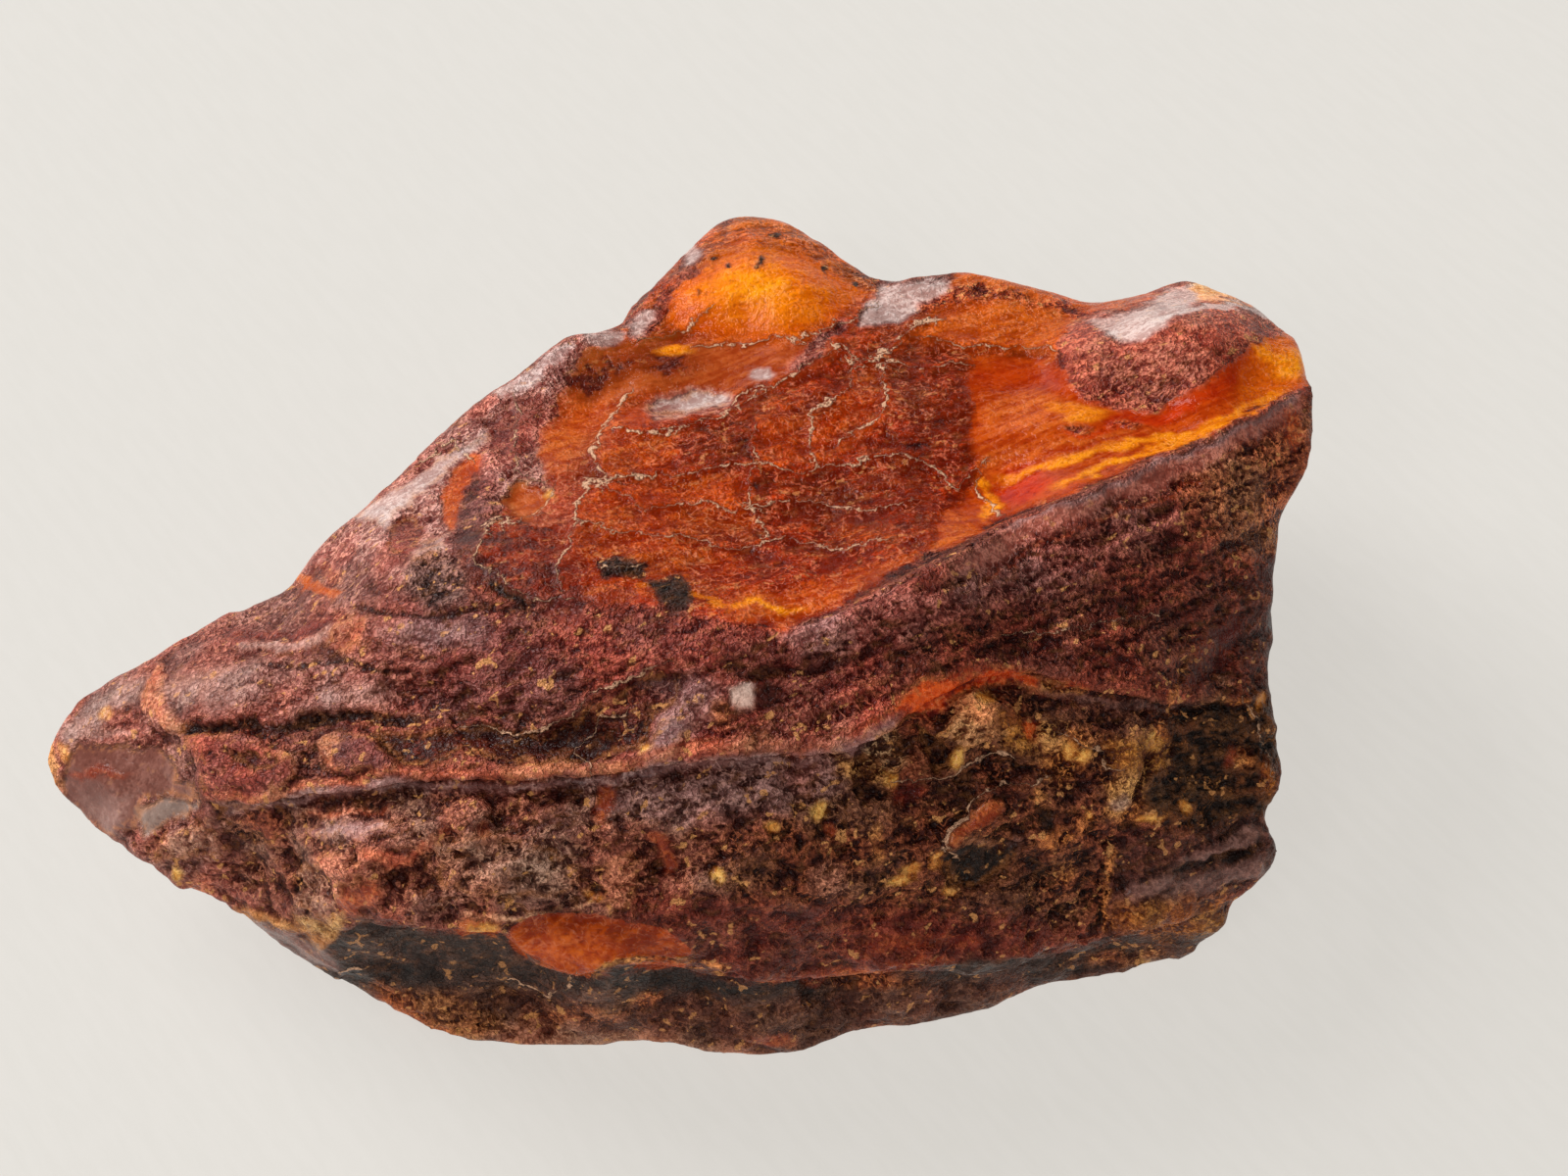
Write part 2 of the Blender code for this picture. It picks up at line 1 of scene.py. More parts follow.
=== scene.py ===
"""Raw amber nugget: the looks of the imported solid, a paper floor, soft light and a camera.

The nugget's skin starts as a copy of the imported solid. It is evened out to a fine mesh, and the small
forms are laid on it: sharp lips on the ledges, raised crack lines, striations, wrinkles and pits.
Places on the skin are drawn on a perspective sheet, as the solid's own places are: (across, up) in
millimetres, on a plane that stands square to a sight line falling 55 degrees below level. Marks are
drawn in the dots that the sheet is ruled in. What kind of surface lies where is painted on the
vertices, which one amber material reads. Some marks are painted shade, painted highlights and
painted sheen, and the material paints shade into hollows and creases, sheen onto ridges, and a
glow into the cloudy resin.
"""

from __future__ import annotations

import logging
import math
from dataclasses import dataclass, field
from enum import Enum

import bpy
import numpy as np
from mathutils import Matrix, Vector, noise

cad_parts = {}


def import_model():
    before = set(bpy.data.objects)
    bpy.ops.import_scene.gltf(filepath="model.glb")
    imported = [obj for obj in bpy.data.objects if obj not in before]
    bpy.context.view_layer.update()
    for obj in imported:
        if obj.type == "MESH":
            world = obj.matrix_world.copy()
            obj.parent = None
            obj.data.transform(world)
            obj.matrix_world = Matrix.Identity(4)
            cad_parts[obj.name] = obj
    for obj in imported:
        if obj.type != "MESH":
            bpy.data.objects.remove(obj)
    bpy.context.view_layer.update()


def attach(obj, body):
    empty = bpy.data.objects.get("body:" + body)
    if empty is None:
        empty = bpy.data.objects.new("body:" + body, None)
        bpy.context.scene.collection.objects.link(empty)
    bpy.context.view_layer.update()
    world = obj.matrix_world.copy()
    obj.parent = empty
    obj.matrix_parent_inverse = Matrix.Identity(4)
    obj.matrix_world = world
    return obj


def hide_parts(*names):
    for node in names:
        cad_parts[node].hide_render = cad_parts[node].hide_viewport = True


log = logging.getLogger("amber")

MM = 0.001
AMBER_IOR = 1.54
Point = tuple[float, float]
Line = list[Point]
Colour = tuple[float, float, float]


# Where a look's single numbers stand in its row, after the ground's and the crumb's colours.
SHARE, SMOOTH, CLEAR = 6, 7, 8


@dataclass(frozen=True)
class Look:
    """What a place on the skin is like: a ground, and crumbs or streaks that lie on it."""

    ground: Colour
    crumb: Colour
    share: float
    smooth: float
    clear: float

    def row(self) -> np.ndarray:
        """All its numbers in one row."""
        return np.array((*self.ground, *self.crumb, self.share, self.smooth, self.clear))


class Finish(Enum):
    """The finishes on the nugget: ground, crumb, share of crumbs, how smooth, and how clear."""

    BARK = Look((0.12, 0.020, 0.012), (0.36, 0.11, 0.07), 0.35, 0.0, 0.0)
    ROSE = Look((0.22, 0.052, 0.034), (0.50, 0.22, 0.17), 0.45, 0.15, 0.0)
    ROSE_LIGHT = Look((0.29, 0.085, 0.05), (0.67, 0.33, 0.21), 0.5, 0.1, 0.0)
    ROSE_RIM = Look((0.30, 0.055, 0.036), (0.80, 0.40, 0.32), 0.45, 0.2, 0.0)
    BROWN_ROSE = Look((0.19, 0.046, 0.033), (0.37, 0.14, 0.105), 0.45, 0.2, 0.0)
    UMBER_ROSE = Look((0.10, 0.019, 0.013), (0.41, 0.15, 0.08), 0.4, 0.0, 0.0)
    GREY_ROSE = Look((0.15, 0.027, 0.018), (0.44, 0.20, 0.165), 0.5, 0.1, 0.0)
    RED_ROSE = Look((0.165, 0.014, 0.006), (0.49, 0.145, 0.09), 0.42, 0.1, 0.0)
    ORANGE_ROSE = Look((0.50, 0.125, 0.05), (0.80, 0.35, 0.20), 0.45, 0.3, 0.0)
    SALMON = Look((0.37, 0.068, 0.03), (0.74, 0.265, 0.135), 0.45, 0.3, 0.0)
    PLUM = Look((0.11, 0.014, 0.010), (0.31, 0.10, 0.08), 0.42, 0.2, 0.0)
    MULBERRY = Look((0.15, 0.013, 0.007), (0.42, 0.12, 0.08), 0.42, 0.1, 0.0)
    # Painted sheen: grey-lavender on smooth crust that faces the light.
    HEATHER = Look((0.24, 0.085, 0.075), (0.50, 0.29, 0.27), 0.5, 0.6, 0.0)
    # Painted sheen: pale lavender where the crust faces the light.
    LAVENDER = Look((0.36, 0.17, 0.15), (0.66, 0.42, 0.38), 0.45, 0.7, 0.0)
    # Painted sheen, darker.
    LAVENDER_DARK = Look((0.20, 0.085, 0.075), (0.42, 0.23, 0.21), 0.45, 0.8, 0.0)
    GREY = Look((0.28, 0.15, 0.12), (0.52, 0.34, 0.29), 0.45, 0.6, 0.0)
    # Painted sheen: the grey sheen on the lower slab under the ledge.
    ASH = Look((0.11, 0.03, 0.022), (0.47, 0.24, 0.20), 0.5, 0.2, 0.0)
    # Painted sheen: the smooth lavender band under the crest.
    SHEEN = Look((0.24, 0.040, 0.022), (0.58, 0.20, 0.14), 0.5, 0.9, 0.0)
    NIGHT = Look((0.075, 0.007, 0.003), (0.34, 0.095, 0.055), 0.38, 0.1, 0.0)
    TAWNY = Look((0.12, 0.018, 0.006), (0.70, 0.29, 0.12), 0.42, 0.0, 0.0)
    TAWNY_RED = Look((0.26, 0.018, 0.0017), (0.62, 0.14, 0.036), 0.4, 0.1, 0.3)
    WINE = Look((0.070, 0.0036, 0.0017), (0.24, 0.038, 0.013), 0.3, 0.6, 0.0)
    RIB = Look((0.040, 0.009, 0.006), (0.17, 0.06, 0.04), 0.4, 0.4, 0.0)
    # Painted highlight: pale glossy colour along the tops of ribs and rims.
    RIB_LIGHT = Look((0.14, 0.054, 0.04), (0.34, 0.16, 0.125), 0.5, 0.8, 0.0)
    HUMMOCK = Look((0.13, 0.032, 0.020), (0.42, 0.20, 0.13), 0.42, 0.0, 0.0)
    TAN_GREY = Look((0.175, 0.068, 0.038), (0.62, 0.36, 0.24), 0.5, 0.0, 0.0)
    PALE = Look((0.27, 0.085, 0.042), (0.69, 0.35, 0.21), 0.5, 0.0, 0.0)
    UMBER = Look((0.050, 0.008, 0.004), (0.32, 0.12, 0.055), 0.36, 0.0, 0.0)
    GARNET = Look((0.10, 0.011, 0.006), (0.28, 0.068, 0.038), 0.40, 0.3, 0.0)
    GARNET_RED = Look((0.19, 0.016, 0.008), (0.47, 0.115, 0.068), 0.35, 0.6, 0.0)
    COAL = Look((0.016, 0.006, 0.003), (0.30, 0.12, 0.035), 0.12, 0.2, 0.0)
    # Painted shade: near black under the rim's overhang and in sunk pits.
    MIDNIGHT = Look((0.010, 0.0055, 0.004), (0.035, 0.018, 0.012), 0.35, 0.5, 0.0)
    SLATE = Look((0.030, 0.015, 0.010), (0.09, 0.048, 0.034), 0.4, 0.5, 0.0)
    LOAM = Look((0.095, 0.03, 0.018), (0.235, 0.10, 0.06), 0.42, 0.35, 0.0)
    PINK_LOAM = Look((0.21, 0.068, 0.035), (0.49, 0.25, 0.15), 0.45, 0.3, 0.0)
    FOOT = Look((0.165, 0.045, 0.018), (0.56, 0.22, 0.08), 0.45, 0.0, 0.0)
    TOPAZ = Look((0.13, 0.018, 0.002), (0.66, 0.26, 0.04), 0.42, 0.3, 0.4)
    TOPAZ_LIGHT = Look((0.50, 0.23, 0.06), (0.88, 0.50, 0.18), 0.45, 0.3, 0.3)
    TAN_CRUMB = Look((0.16, 0.035, 0.006), (0.86, 0.42, 0.12), 0.48, 0.0, 0.0)
    AMBER_DROP = Look((0.72, 0.24, 0.02), (1.0, 0.55, 0.12), 0.5, 0.8, 0.3)
    CREAM = Look((0.55, 0.22, 0.10), (0.91, 0.49, 0.27), 0.5, 0.1, 0.0)
    EMBER = Look((0.24, 0.018, 0.002), (0.54, 0.11, 0.018), 0.4, 0.75, 0.3)
    EMBER_DARK = Look((0.14, 0.007, 0.0008), (0.34, 0.038, 0.009), 0.35, 0.5, 0.3)
    EMBER_BAND = Look((0.27, 0.014, 0.0005), (0.56, 0.095, 0.015), 0.38, 0.65, 0.5)
    SNOUT_FACET = Look((0.17, 0.052, 0.036), (0.29, 0.112, 0.082), 0.4, 1.0, 0.0)
    FACET_PINK = Look((0.30, 0.13, 0.10), (0.42, 0.22, 0.18), 0.4, 1.0, 0.0)
    FACET_GREY = Look((0.32, 0.21, 0.17), (0.42, 0.29, 0.24), 0.4, 1.0, 0.0)
    # Painted reflection: the bright square that a smooth facet mirrors.
    WHITE_FACET = Look((0.60, 0.38, 0.30), (0.87, 0.61, 0.50), 0.6, 0.9, 0.0)
    RED_LUMP = Look((0.13, 0.014, 0.011), (0.51, 0.155, 0.11), 0.38, 0.1, 0.0)
    DISH = Look((0.094, 0.021, 0.018), (0.245, 0.08, 0.068), 0.42, 0.2, 0.0)
    # Painted shade: near black laid into sunk hollows and grooves.
    HOLLOW = Look((0.040, 0.0040, 0.0020), (0.14, 0.026, 0.014), 0.3, 0.45, 0.0)
    OCHRE = Look((0.22, 0.06, 0.025), (0.67, 0.285, 0.125), 0.48, 0.1, 0.0)
    PIT_BROWN = Look((0.072, 0.006, 0.0008), (0.36, 0.105, 0.045), 0.38, 0.0, 0.2)
    # Painted shade: the dark inside of a deep pit.
    PIT_DARK = Look((0.033, 0.0035, 0.0008), (0.135, 0.033, 0.013), 0.25, 0.2, 0.0)
    PALE_GREEN = Look((0.175, 0.077, 0.042), (0.74, 0.435, 0.215), 0.5, 0.0, 0.0)
    TAN_LUMP = Look((0.18, 0.035, 0.006), (0.85, 0.42, 0.17), 0.5, 0.0, 0.0)
    # Painted sheen: pale pink-white where smooth amber catches the light.
    PEARL = Look((0.50, 0.29, 0.25), (0.84, 0.70, 0.65), 0.5, 1.0, 0.0)
    # Painted highlight: the white shine on the glossy dish.
    DISH_WHITE = Look((0.38, 0.13, 0.10), (0.80, 0.62, 0.56), 0.5, 1.0, 0.3)
    THUMB = Look((0.26, 0.032, 0.016), (0.64, 0.20, 0.12), 0.50, 0.3, 0.0)
    THUMB_EDGE = Look((0.6, 0.18, 0.005), (0.95, 0.6, 0.28), 0.4, 0.6, 0.8)
    NET = Look((0.06, 0.020, 0.014), (0.34, 0.19, 0.15), 0.45, 0.0, 0.0)
    INCLUSION = Look((0.006, 0.003, 0.002), (0.16, 0.05, 0.02), 0.14, 0.4, 0.0)
    RED_FACET = Look((0.10, 0.005, 0.001), (0.28, 0.04, 0.015), 0.35, 0.5, 0.5)
    NOTCH = Look((0.38, 0.06, 0.006), (0.62, 0.15, 0.03), 0.4, 0.8, 1.0)
    RIM_AMBER = Look((0.08, 0.005, 0.0005), (0.34, 0.058, 0.003), 0.44, 0.8, 1.0)
    PLATE_RED = Look((0.10, 0.003, 0.0003), (0.37, 0.042, 0.003), 0.40, 0.3, 0.72)
    PLATE_GARNET = Look((0.060, 0.002, 0.0005), (0.27, 0.026, 0.003), 0.34, 0.2, 0.62)
    PLATE_DARK = Look((0.035, 0.003, 0.001), (0.20, 0.03, 0.006), 0.30, 0.2, 0.62)
    PLATE_ORANGE = Look((0.22, 0.017, 0.0005), (0.46, 0.080, 0.005), 0.42, 0.4, 0.8)
    LEFT_RED = Look((0.19, 0.013, 0.002), (0.44, 0.105, 0.045), 0.4, 0.5, 0.75)
    FLAME = Look((0.34, 0.034, 0.002), (0.64, 0.14, 0.015), 0.45, 0.8, 1.0)
    TROUGH = Look((0.24, 0.027, 0.004), (0.44, 0.095, 0.02), 0.45, 1.0, 1.0)
    TROUGH_SHADE = Look((0.07, 0.004, 0.001), (0.17, 0.014, 0.004), 0.42, 0.8, 0.45)
    SADDLE = Look((0.34, 0.036, 0.001), (0.62, 0.115, 0.006), 0.45, 0.7, 0.95)
    AMBER = Look((0.5, 0.07, 0.0005), (0.68, 0.135, 0.002), 0.5, 0.8, 1.0)
    AMBER_DEEP = Look((0.32, 0.05, 0.008), (0.55, 0.13, 0.03), 0.45, 0.9, 1.0)
    HONEY = Look((0.60, 0.11, 0.0005), (0.86, 0.23, 0.002), 0.5, 0.8, 1.0)
    HONEY_LIGHT = Look((0.84, 0.22, 0.001), (1.0, 0.36, 0.004), 0.5, 0.8, 1.0)
    DOME_CAP = Look((0.085, 0.007, 0.0003), (0.56, 0.12, 0.004), 0.48, 0.35, 0.85)
    GOLD = Look((0.72, 0.17, 0.001), (0.98, 0.36, 0.006), 0.5, 0.8, 1.0)
    BOWL = Look((0.27, 0.018, 0.0005), (0.52, 0.072, 0.004), 0.45, 1.0, 1.0)
    BOWL_RED = Look((0.24, 0.004, 0.0005), (0.42, 0.026, 0.001), 0.42, 1.0, 1.0)
    HOT = Look((0.30, 0.004, 0.0005), (0.55, 0.035, 0.002), 0.5, 1.0, 0.9)


# ---------------------------------------------------------------------------------------------
# The drawing sheet
# ---------------------------------------------------------------------------------------------


@dataclass(frozen=True)
class Sheet:
    """The perspective sheet on which places on the skin are drawn, in millimetres.

    The origin is how far the sheet's own zero lies from the middle of the solid's box.
    """

    sight_fall: float = math.radians(55.0)
    eye_distance: float = 260.0
    datum_height: float = 20.0
    datum_up: float = 4.2
    origin: tuple[float, float, float] = (8.798, 4.869, 0.0)

    def axes(self) -> tuple[np.ndarray, np.ndarray]:
        """The sheet's up direction and the direction to the eye."""
        up = np.array((0.0, math.sin(self.sight_fall), math.cos(self.sight_fall)))
        to_eye = np.array((0.0, -math.cos(self.sight_fall), math.sin(self.sight_fall)))
        return up, to_eye

    def eye(self) -> np.ndarray:
        """Where the eye stands in the world."""
        up, to_eye = self.axes()
        datum = np.array((0.0, -self.datum_height / math.tan(self.sight_fall), self.datum_height))
        return np.array(self.origin) + datum + self.datum_up * up + self.eye_distance * to_eye

    def places(self, points: np.ndarray) -> np.ndarray:
        """Sheet coordinates of world points.

        Args:
            points: World points in mm, one row each.

        Returns:
            Rows of (across, up) in mm.
        """
        up, to_eye = self.axes()
        rays = points - self.eye()
        scale = self.eye_distance / -(rays @ to_eye)
        return np.stack([rays[:, 0] * scale, (rays @ up) * scale + self.datum_up], axis=1)

    def facing(self, points: np.ndarray, normals: np.ndarray) -> np.ndarray:
        """How squarely each point of the skin faces the eye, from -1 to 1."""
        ways = self.eye() - points
        ways /= np.linalg.norm(ways, axis=1)[:, None]
        return (normals * ways).sum(1)


SHEET = Sheet()
DOTS_PER_MM = 11.8  # the sheet is ruled in dots, for drawing marks on it
ZERO_DOT = (800, 650)  # the dot, across and down, at the sheet's zero
SHEET_DOTS = 1600.0  # the width that the camera shows


def drawn(dots: Line) -> Line:
    """Turns points drawn in the sheet's dots into places on it.

    Args:
        dots: Points (across, down) in dots.

    Returns:
        The same points as (across, up) in mm.
    """
    zero_across, zero_down = ZERO_DOT
    return [
        ((across - zero_across) / DOTS_PER_MM, (zero_down - down) / DOTS_PER_MM)
        for across, down in dots
    ]


def smoothstep(low: float, high: float, values: np.ndarray) -> np.ndarray:
    """0 below low, 1 above high, and a smooth rise between them."""
    share = np.clip((values - low) / (high - low), 0.0, 1.0)
    return share * share * (3.0 - 2.0 * share)


def from_line(places: np.ndarray, line: Line) -> tuple[np.ndarray, np.ndarray, np.ndarray]:
    """Measures places against a drawn line.

    Args:
        places: Sheet places, one row each.
        line: The line's points.

    Returns:
        Distance in mm, side (1 on the left, -1 on the right), and share of the way along.
    """
    stops = np.array(line)
    lengths = np.hypot(*(stops[1:] - stops[:-1]).T)
    best = np.full(len(places), np.inf)
    side = np.ones(len(places))
    along = np.zeros(len(places))
    walked = 0.0
    for start, end, length in zip(stops[:-1], stops[1:], lengths):
        way = (end - start) / length
        offset = places - start
        run = np.clip(offset @ way, 0.0, length)
        apart = np.hypot(*(offset - np.outer(run, way)).T)
        nearer = apart < best
        best = np.where(nearer, apart, best)
        turn = way[0] * offset[:, 1] - way[1] * offset[:, 0]
        side = np.where(nearer, np.where(turn >= 0, 1.0, -1.0), side)
        along = np.where(nearer, (walked + run) / lengths.sum(), along)
        walked += length
    return best, side, along


class Mark:
    """A place on the sheet with one finish."""

    margin: float = 3.0

    def stops(self) -> Line:
        """Points that the mark lies between."""
        raise NotImplementedError

    def weight(self, places: np.ndarray) -> np.ndarray:
        """How much of the finish each place has, from 0 to 1."""
        raise NotImplementedError

    def relief(self, places: np.ndarray) -> np.ndarray:
        """How far the mark stands out at each place, in mm."""
        raise NotImplementedError

    def near(self, places: np.ndarray) -> np.ndarray:
        """The numbers of the places that the mark can reach."""
        stops = np.array(self.stops())
        low, high = stops.min(0) - self.margin, stops.max(0) + self.margin
        return np.nonzero(((places > low) & (places < high)).all(1))[0]


@dataclass(frozen=True)
class Patch(Mark):
    """An area of the sheet with one finish, inside a drawn outline."""

    finish: Finish
    outline: Line
    softness: float = 0.8
    strength: float = 1.0
    rise: float = 0.0

    def stops(self) -> Line:
        """The outline's places."""
        return drawn(self.outline)

    def depth(self, places: np.ndarray) -> np.ndarray:
        """How far in each place lies inside the outline, in mm; outside it is below 0."""
        stops = self.stops()
        loop = stops + stops[:1]
        apart, _, _ = from_line(places, loop)
        inside = np.zeros(len(places), bool)
        for (x0, y0), (x1, y1) in zip(loop[:-1], loop[1:]):
            crosses = (y0 > places[:, 1]) != (y1 > places[:, 1])
            if y0 != y1:
                reach = x0 + (places[:, 1] - y0) * (x1 - x0) / (y1 - y0)
                inside ^= crosses & (places[:, 0] < reach)
        return np.where(inside, apart, -apart)

    def weight(self, places: np.ndarray) -> np.ndarray:
        """1 inside the outline and 0 outside it, with a soft edge."""
        return smoothstep(-self.softness, self.softness, self.depth(places))

    def relief(self, places: np.ndarray) -> np.ndarray:
        """How far the area stands out, in mm, with a steep edge."""
        return self.rise * smoothstep(-0.35, 0.25, self.depth(places))


@dataclass(frozen=True)
class Spot(Mark):
    """A turned oval of the sheet with one finish. Its place and sizes are in dots."""

    finish: Finish
    across: float
    down: float
    half_length: float
    half_width: float
    turn: float = 0.0
    strength: float = 1.0
    rise: float = 0.0

    def stops(self) -> Line:
        """Corners of a square around the oval."""
        reach = 1.35 * max(self.half_length, self.half_width)
        low = (self.across - reach, self.down + reach)
        high = (self.across + reach, self.down - reach)
        return drawn([low, high])

    def weight(self, places: np.ndarray) -> np.ndarray:
        """1 at the oval's middle, falling softly to 0 past its edge."""
        angle = math.radians(self.turn)
        offset = (places - drawn([(self.across, self.down)])[0]) * DOTS_PER_MM
        long = (offset @ (math.cos(angle), math.sin(angle))) / self.half_length
        wide = (offset @ (-math.sin(angle), math.cos(angle))) / self.half_width
        return 1.0 - smoothstep(0.55, 1.35, np.hypot(long, wide))

    def relief(self, places: np.ndarray) -> np.ndarray:
        """How far the oval stands out, in mm."""
        return self.rise * self.weight(places)


@dataclass(frozen=True)
class Stroke(Mark):
    """A band of the sheet with one finish, along a drawn line. Its half width is in dots."""

    finish: Finish
    line: Line
    half_width: float
    strength: float = 1.0
    rise: float = 0.0

    def stops(self) -> Line:
        """The line's places."""
        return drawn(self.line)

    def weight(self, places: np.ndarray) -> np.ndarray:
        """1 along the line, falling softly to 0 past its width and its ends."""
        apart, _, along = from_line(places, self.stops())
        half = self.half_width / DOTS_PER_MM
        ends = smoothstep(0.0, 0.08, np.minimum(along, 1.0 - along) + 0.02)
        return (1.0 - smoothstep(0.5 * half, 1.5 * half, apart)) * ends

    def relief(self, places: np.ndarray) -> np.ndarray:
        """How far the band stands out, in mm."""
        return self.rise * self.weight(places)


# ---------------------------------------------------------------------------------------------
# What lies where
# ---------------------------------------------------------------------------------------------

CREST = [
    (47.0, 22.5), (38.1, 18.3), (30.0, 14.2), (22.5, 10.9), (16.1, 8.0), (10.0, 4.4), (3.0, 1.2),
    (-4.0, 0.6),
]
LEDGE = [
    (-46.6, -14.2), (-39.8, -13.7), (-32.2, -12.7), (-23.7, -12.3), (-16.9, -12.3), (-11.9, -11.2),
    (-5.1, -10.6), (4.2, -10.0), (8.5, -8.1), (11.9, -5.5), (16.1, -3.4), (22.0, -3.2),
    (26.3, -4.7), (32.2, -5.7), (37.3, -5.8), (42.5, -5.4),
]
RIM = [
    (-39.8, -26.6), (-36.4, -24.4), (-30.5, -25.0), (-24.6, -25.4), (-22.0, -27.5), (-17.8, -29.2),
    (-13.6, -28.1), (-8.5, -28.4), (-1.7, -29.8), (4.2, -29.2), (11.0, -28.4), (18.6, -28.4),
    (24.6, -26.7), (29.7, -25.8), (38.5, -23.4),
]
# Marks are drawn in the sheet's dots: points are (across, down), and the sizes of ovals and the half
# widths of strokes are in dots too. Softness and rise are in mm.
# The snout and the shoulder.
SNOUT_GROUND: list[Mark] = [
    Patch(Finish.ROSE, [
        (30, 800), (50, 735), (155, 670), (303, 570), (380, 590), (470, 640), (500, 700),
        (440, 735), (330, 735), (230, 742), (190, 752), (205, 790), (200, 830), (300, 850),
        (420, 880), (380, 930), (300, 935), (200, 915), (90, 860),
    ], 1.5, 0.95),
    Patch(Finish.PLUM, [
        (400, 600), (470, 620), (560, 640), (600, 690), (560, 735), (480, 740), (400, 730),
        (430, 680),
    ], 2, 0.9),
    Patch(Finish.MULBERRY, [
        (540, 625), (740, 640), (850, 630), (960, 600), (900, 700), (840, 760), (700, 775),
        (600, 795), (640, 700), (590, 690),
    ], 2),
    Patch(Finish.GREY_ROSE, [
        (840, 625), (900, 600), (970, 600), (960, 640), (900, 665), (820, 675), (790, 665),
    ], 1, 0.8),
]
# The slab behind the crest line.
UPPER_SLAB_MARKS: list[Mark] = [
    Patch(Finish.NIGHT, [
        (960, 590), (1023, 545), (1100, 525), (1200, 475), (1300, 420), (1350, 395), (1335, 520),
        (1315, 640), (1300, 700), (1180, 722), (1100, 705), (1010, 690), (930, 700), (890, 690),
        (960, 650),
    ], 1.2),
    Patch(Finish.GREY_ROSE, [
        (940, 610), (1010, 562), (1110, 532), (1180, 500), (1210, 535), (1100, 590), (1040, 620),
        (960, 640),
    ], 1.5, 0.75),
    Patch(Finish.TAWNY, [
        (1200, 480), (1335, 420), (1330, 500), (1315, 570), (1260, 560), (1220, 520),
    ], 2, 0.9),
    # Painted sheen along the band under the crest.
    Patch(Finish.SHEEN, [
        (965, 585), (1023, 540), (1074, 520), (1128, 500), (1181, 470), (1248, 446), (1330, 402),
        (1330, 425), (1260, 460), (1190, 495), (1128, 520), (1070, 545), (1000, 585),
    ], 0.6, 0.9),
    Patch(Finish.WINE, [
        (1213, 694), (1225, 650), (1270, 622), (1262, 660), (1240, 690),
    ], 0.6),
    Patch(Finish.RIB, [
        (1268, 600), (1310, 560), (1310, 700), (1270, 700), (1262, 650),
    ], 1, 0.8),
    Spot(Finish.EMBER, 1318, 440, 10, 22, 0, 0.9),
    # A painted highlight along the crest's edge.
    Stroke(Finish.LAVENDER_DARK, [
        (1023, 542), (1074, 522), (1128, 502), (1181, 473), (1248, 448), (1330, 404),
    ], 3, 0.9),
    Stroke(Finish.EMBER, [
        (1000, 594), (1070, 554), (1128, 530), (1190, 505), (1240, 480),
    ], 1.6, 0.7),
]
# The lower slab.
LOWER_SLAB_MARKS: list[Mark] = [
    Patch(Finish.HUMMOCK, [
        (230, 822), (420, 805), (560, 800), (740, 785), (870, 780), (900, 850), (860, 920),
        (740, 910), (620, 930), (450, 930), (300, 930), (240, 900),
    ], 1.5),
    # Painted sheen on the lower slab.
    Patch(Finish.LAVENDER, [
        (300, 852), (333, 838), (397, 838), (403, 846), (376, 855), (333, 855),
    ], 0.4, 0.8, 0.2),
    # Painted sheen under the ledge.
    Patch(Finish.ASH, [
        (590, 802), (740, 780), (850, 778), (865, 800), (800, 835), (700, 845), (620, 828),
    ], 1, 0.9),
    Patch(Finish.UMBER, [
        (740, 845), (860, 820), (960, 795), (1060, 800), (1130, 860), (1140, 960), (1000, 960),
        (860, 950), (760, 940), (720, 900),
    ], 2),
    Patch(Finish.GARNET, [
        (620, 905), (760, 922), (900, 925), (1060, 930), (1120, 950), (1060, 990), (930, 995),
        (860, 998), (780, 1008), (700, 998), (620, 960),
    ], 1.2),
    Patch(Finish.UMBER, [
        (860, 735), (1000, 700), (1180, 720), (1190, 850), (1130, 860), (960, 860), (860, 820),
    ], 1.5, 0.9),
    Patch(Finish.COAL, [
        (1180, 722), (1300, 700), (1310, 760), (1305, 835), (1200, 850), (1150, 830), (1180, 790),
    ], 1),
    Patch(Finish.RIB, [
        (1140, 855), (1300, 832), (1310, 880), (1250, 920), (1180, 945), (1130, 955), (1125, 900),
    ], 0.8),
    # Painted highlights along the rib tops.
    Stroke(Finish.RIB_LIGHT, [
        (1150, 918), (1190, 897), (1230, 874), (1290, 850),
    ], 8, 0.9, 0.25),
    Stroke(Finish.RIB_LIGHT, [
        (1185, 925), (1240, 898), (1292, 880),
    ], 9, 0.9, 0.25),
    # A dark line sunk between the ribs: painted shade.
    Stroke(Finish.COAL, [
        (1195, 893), (1235, 880), (1285, 868),
    ], 5, 0.8, -0.3),
]
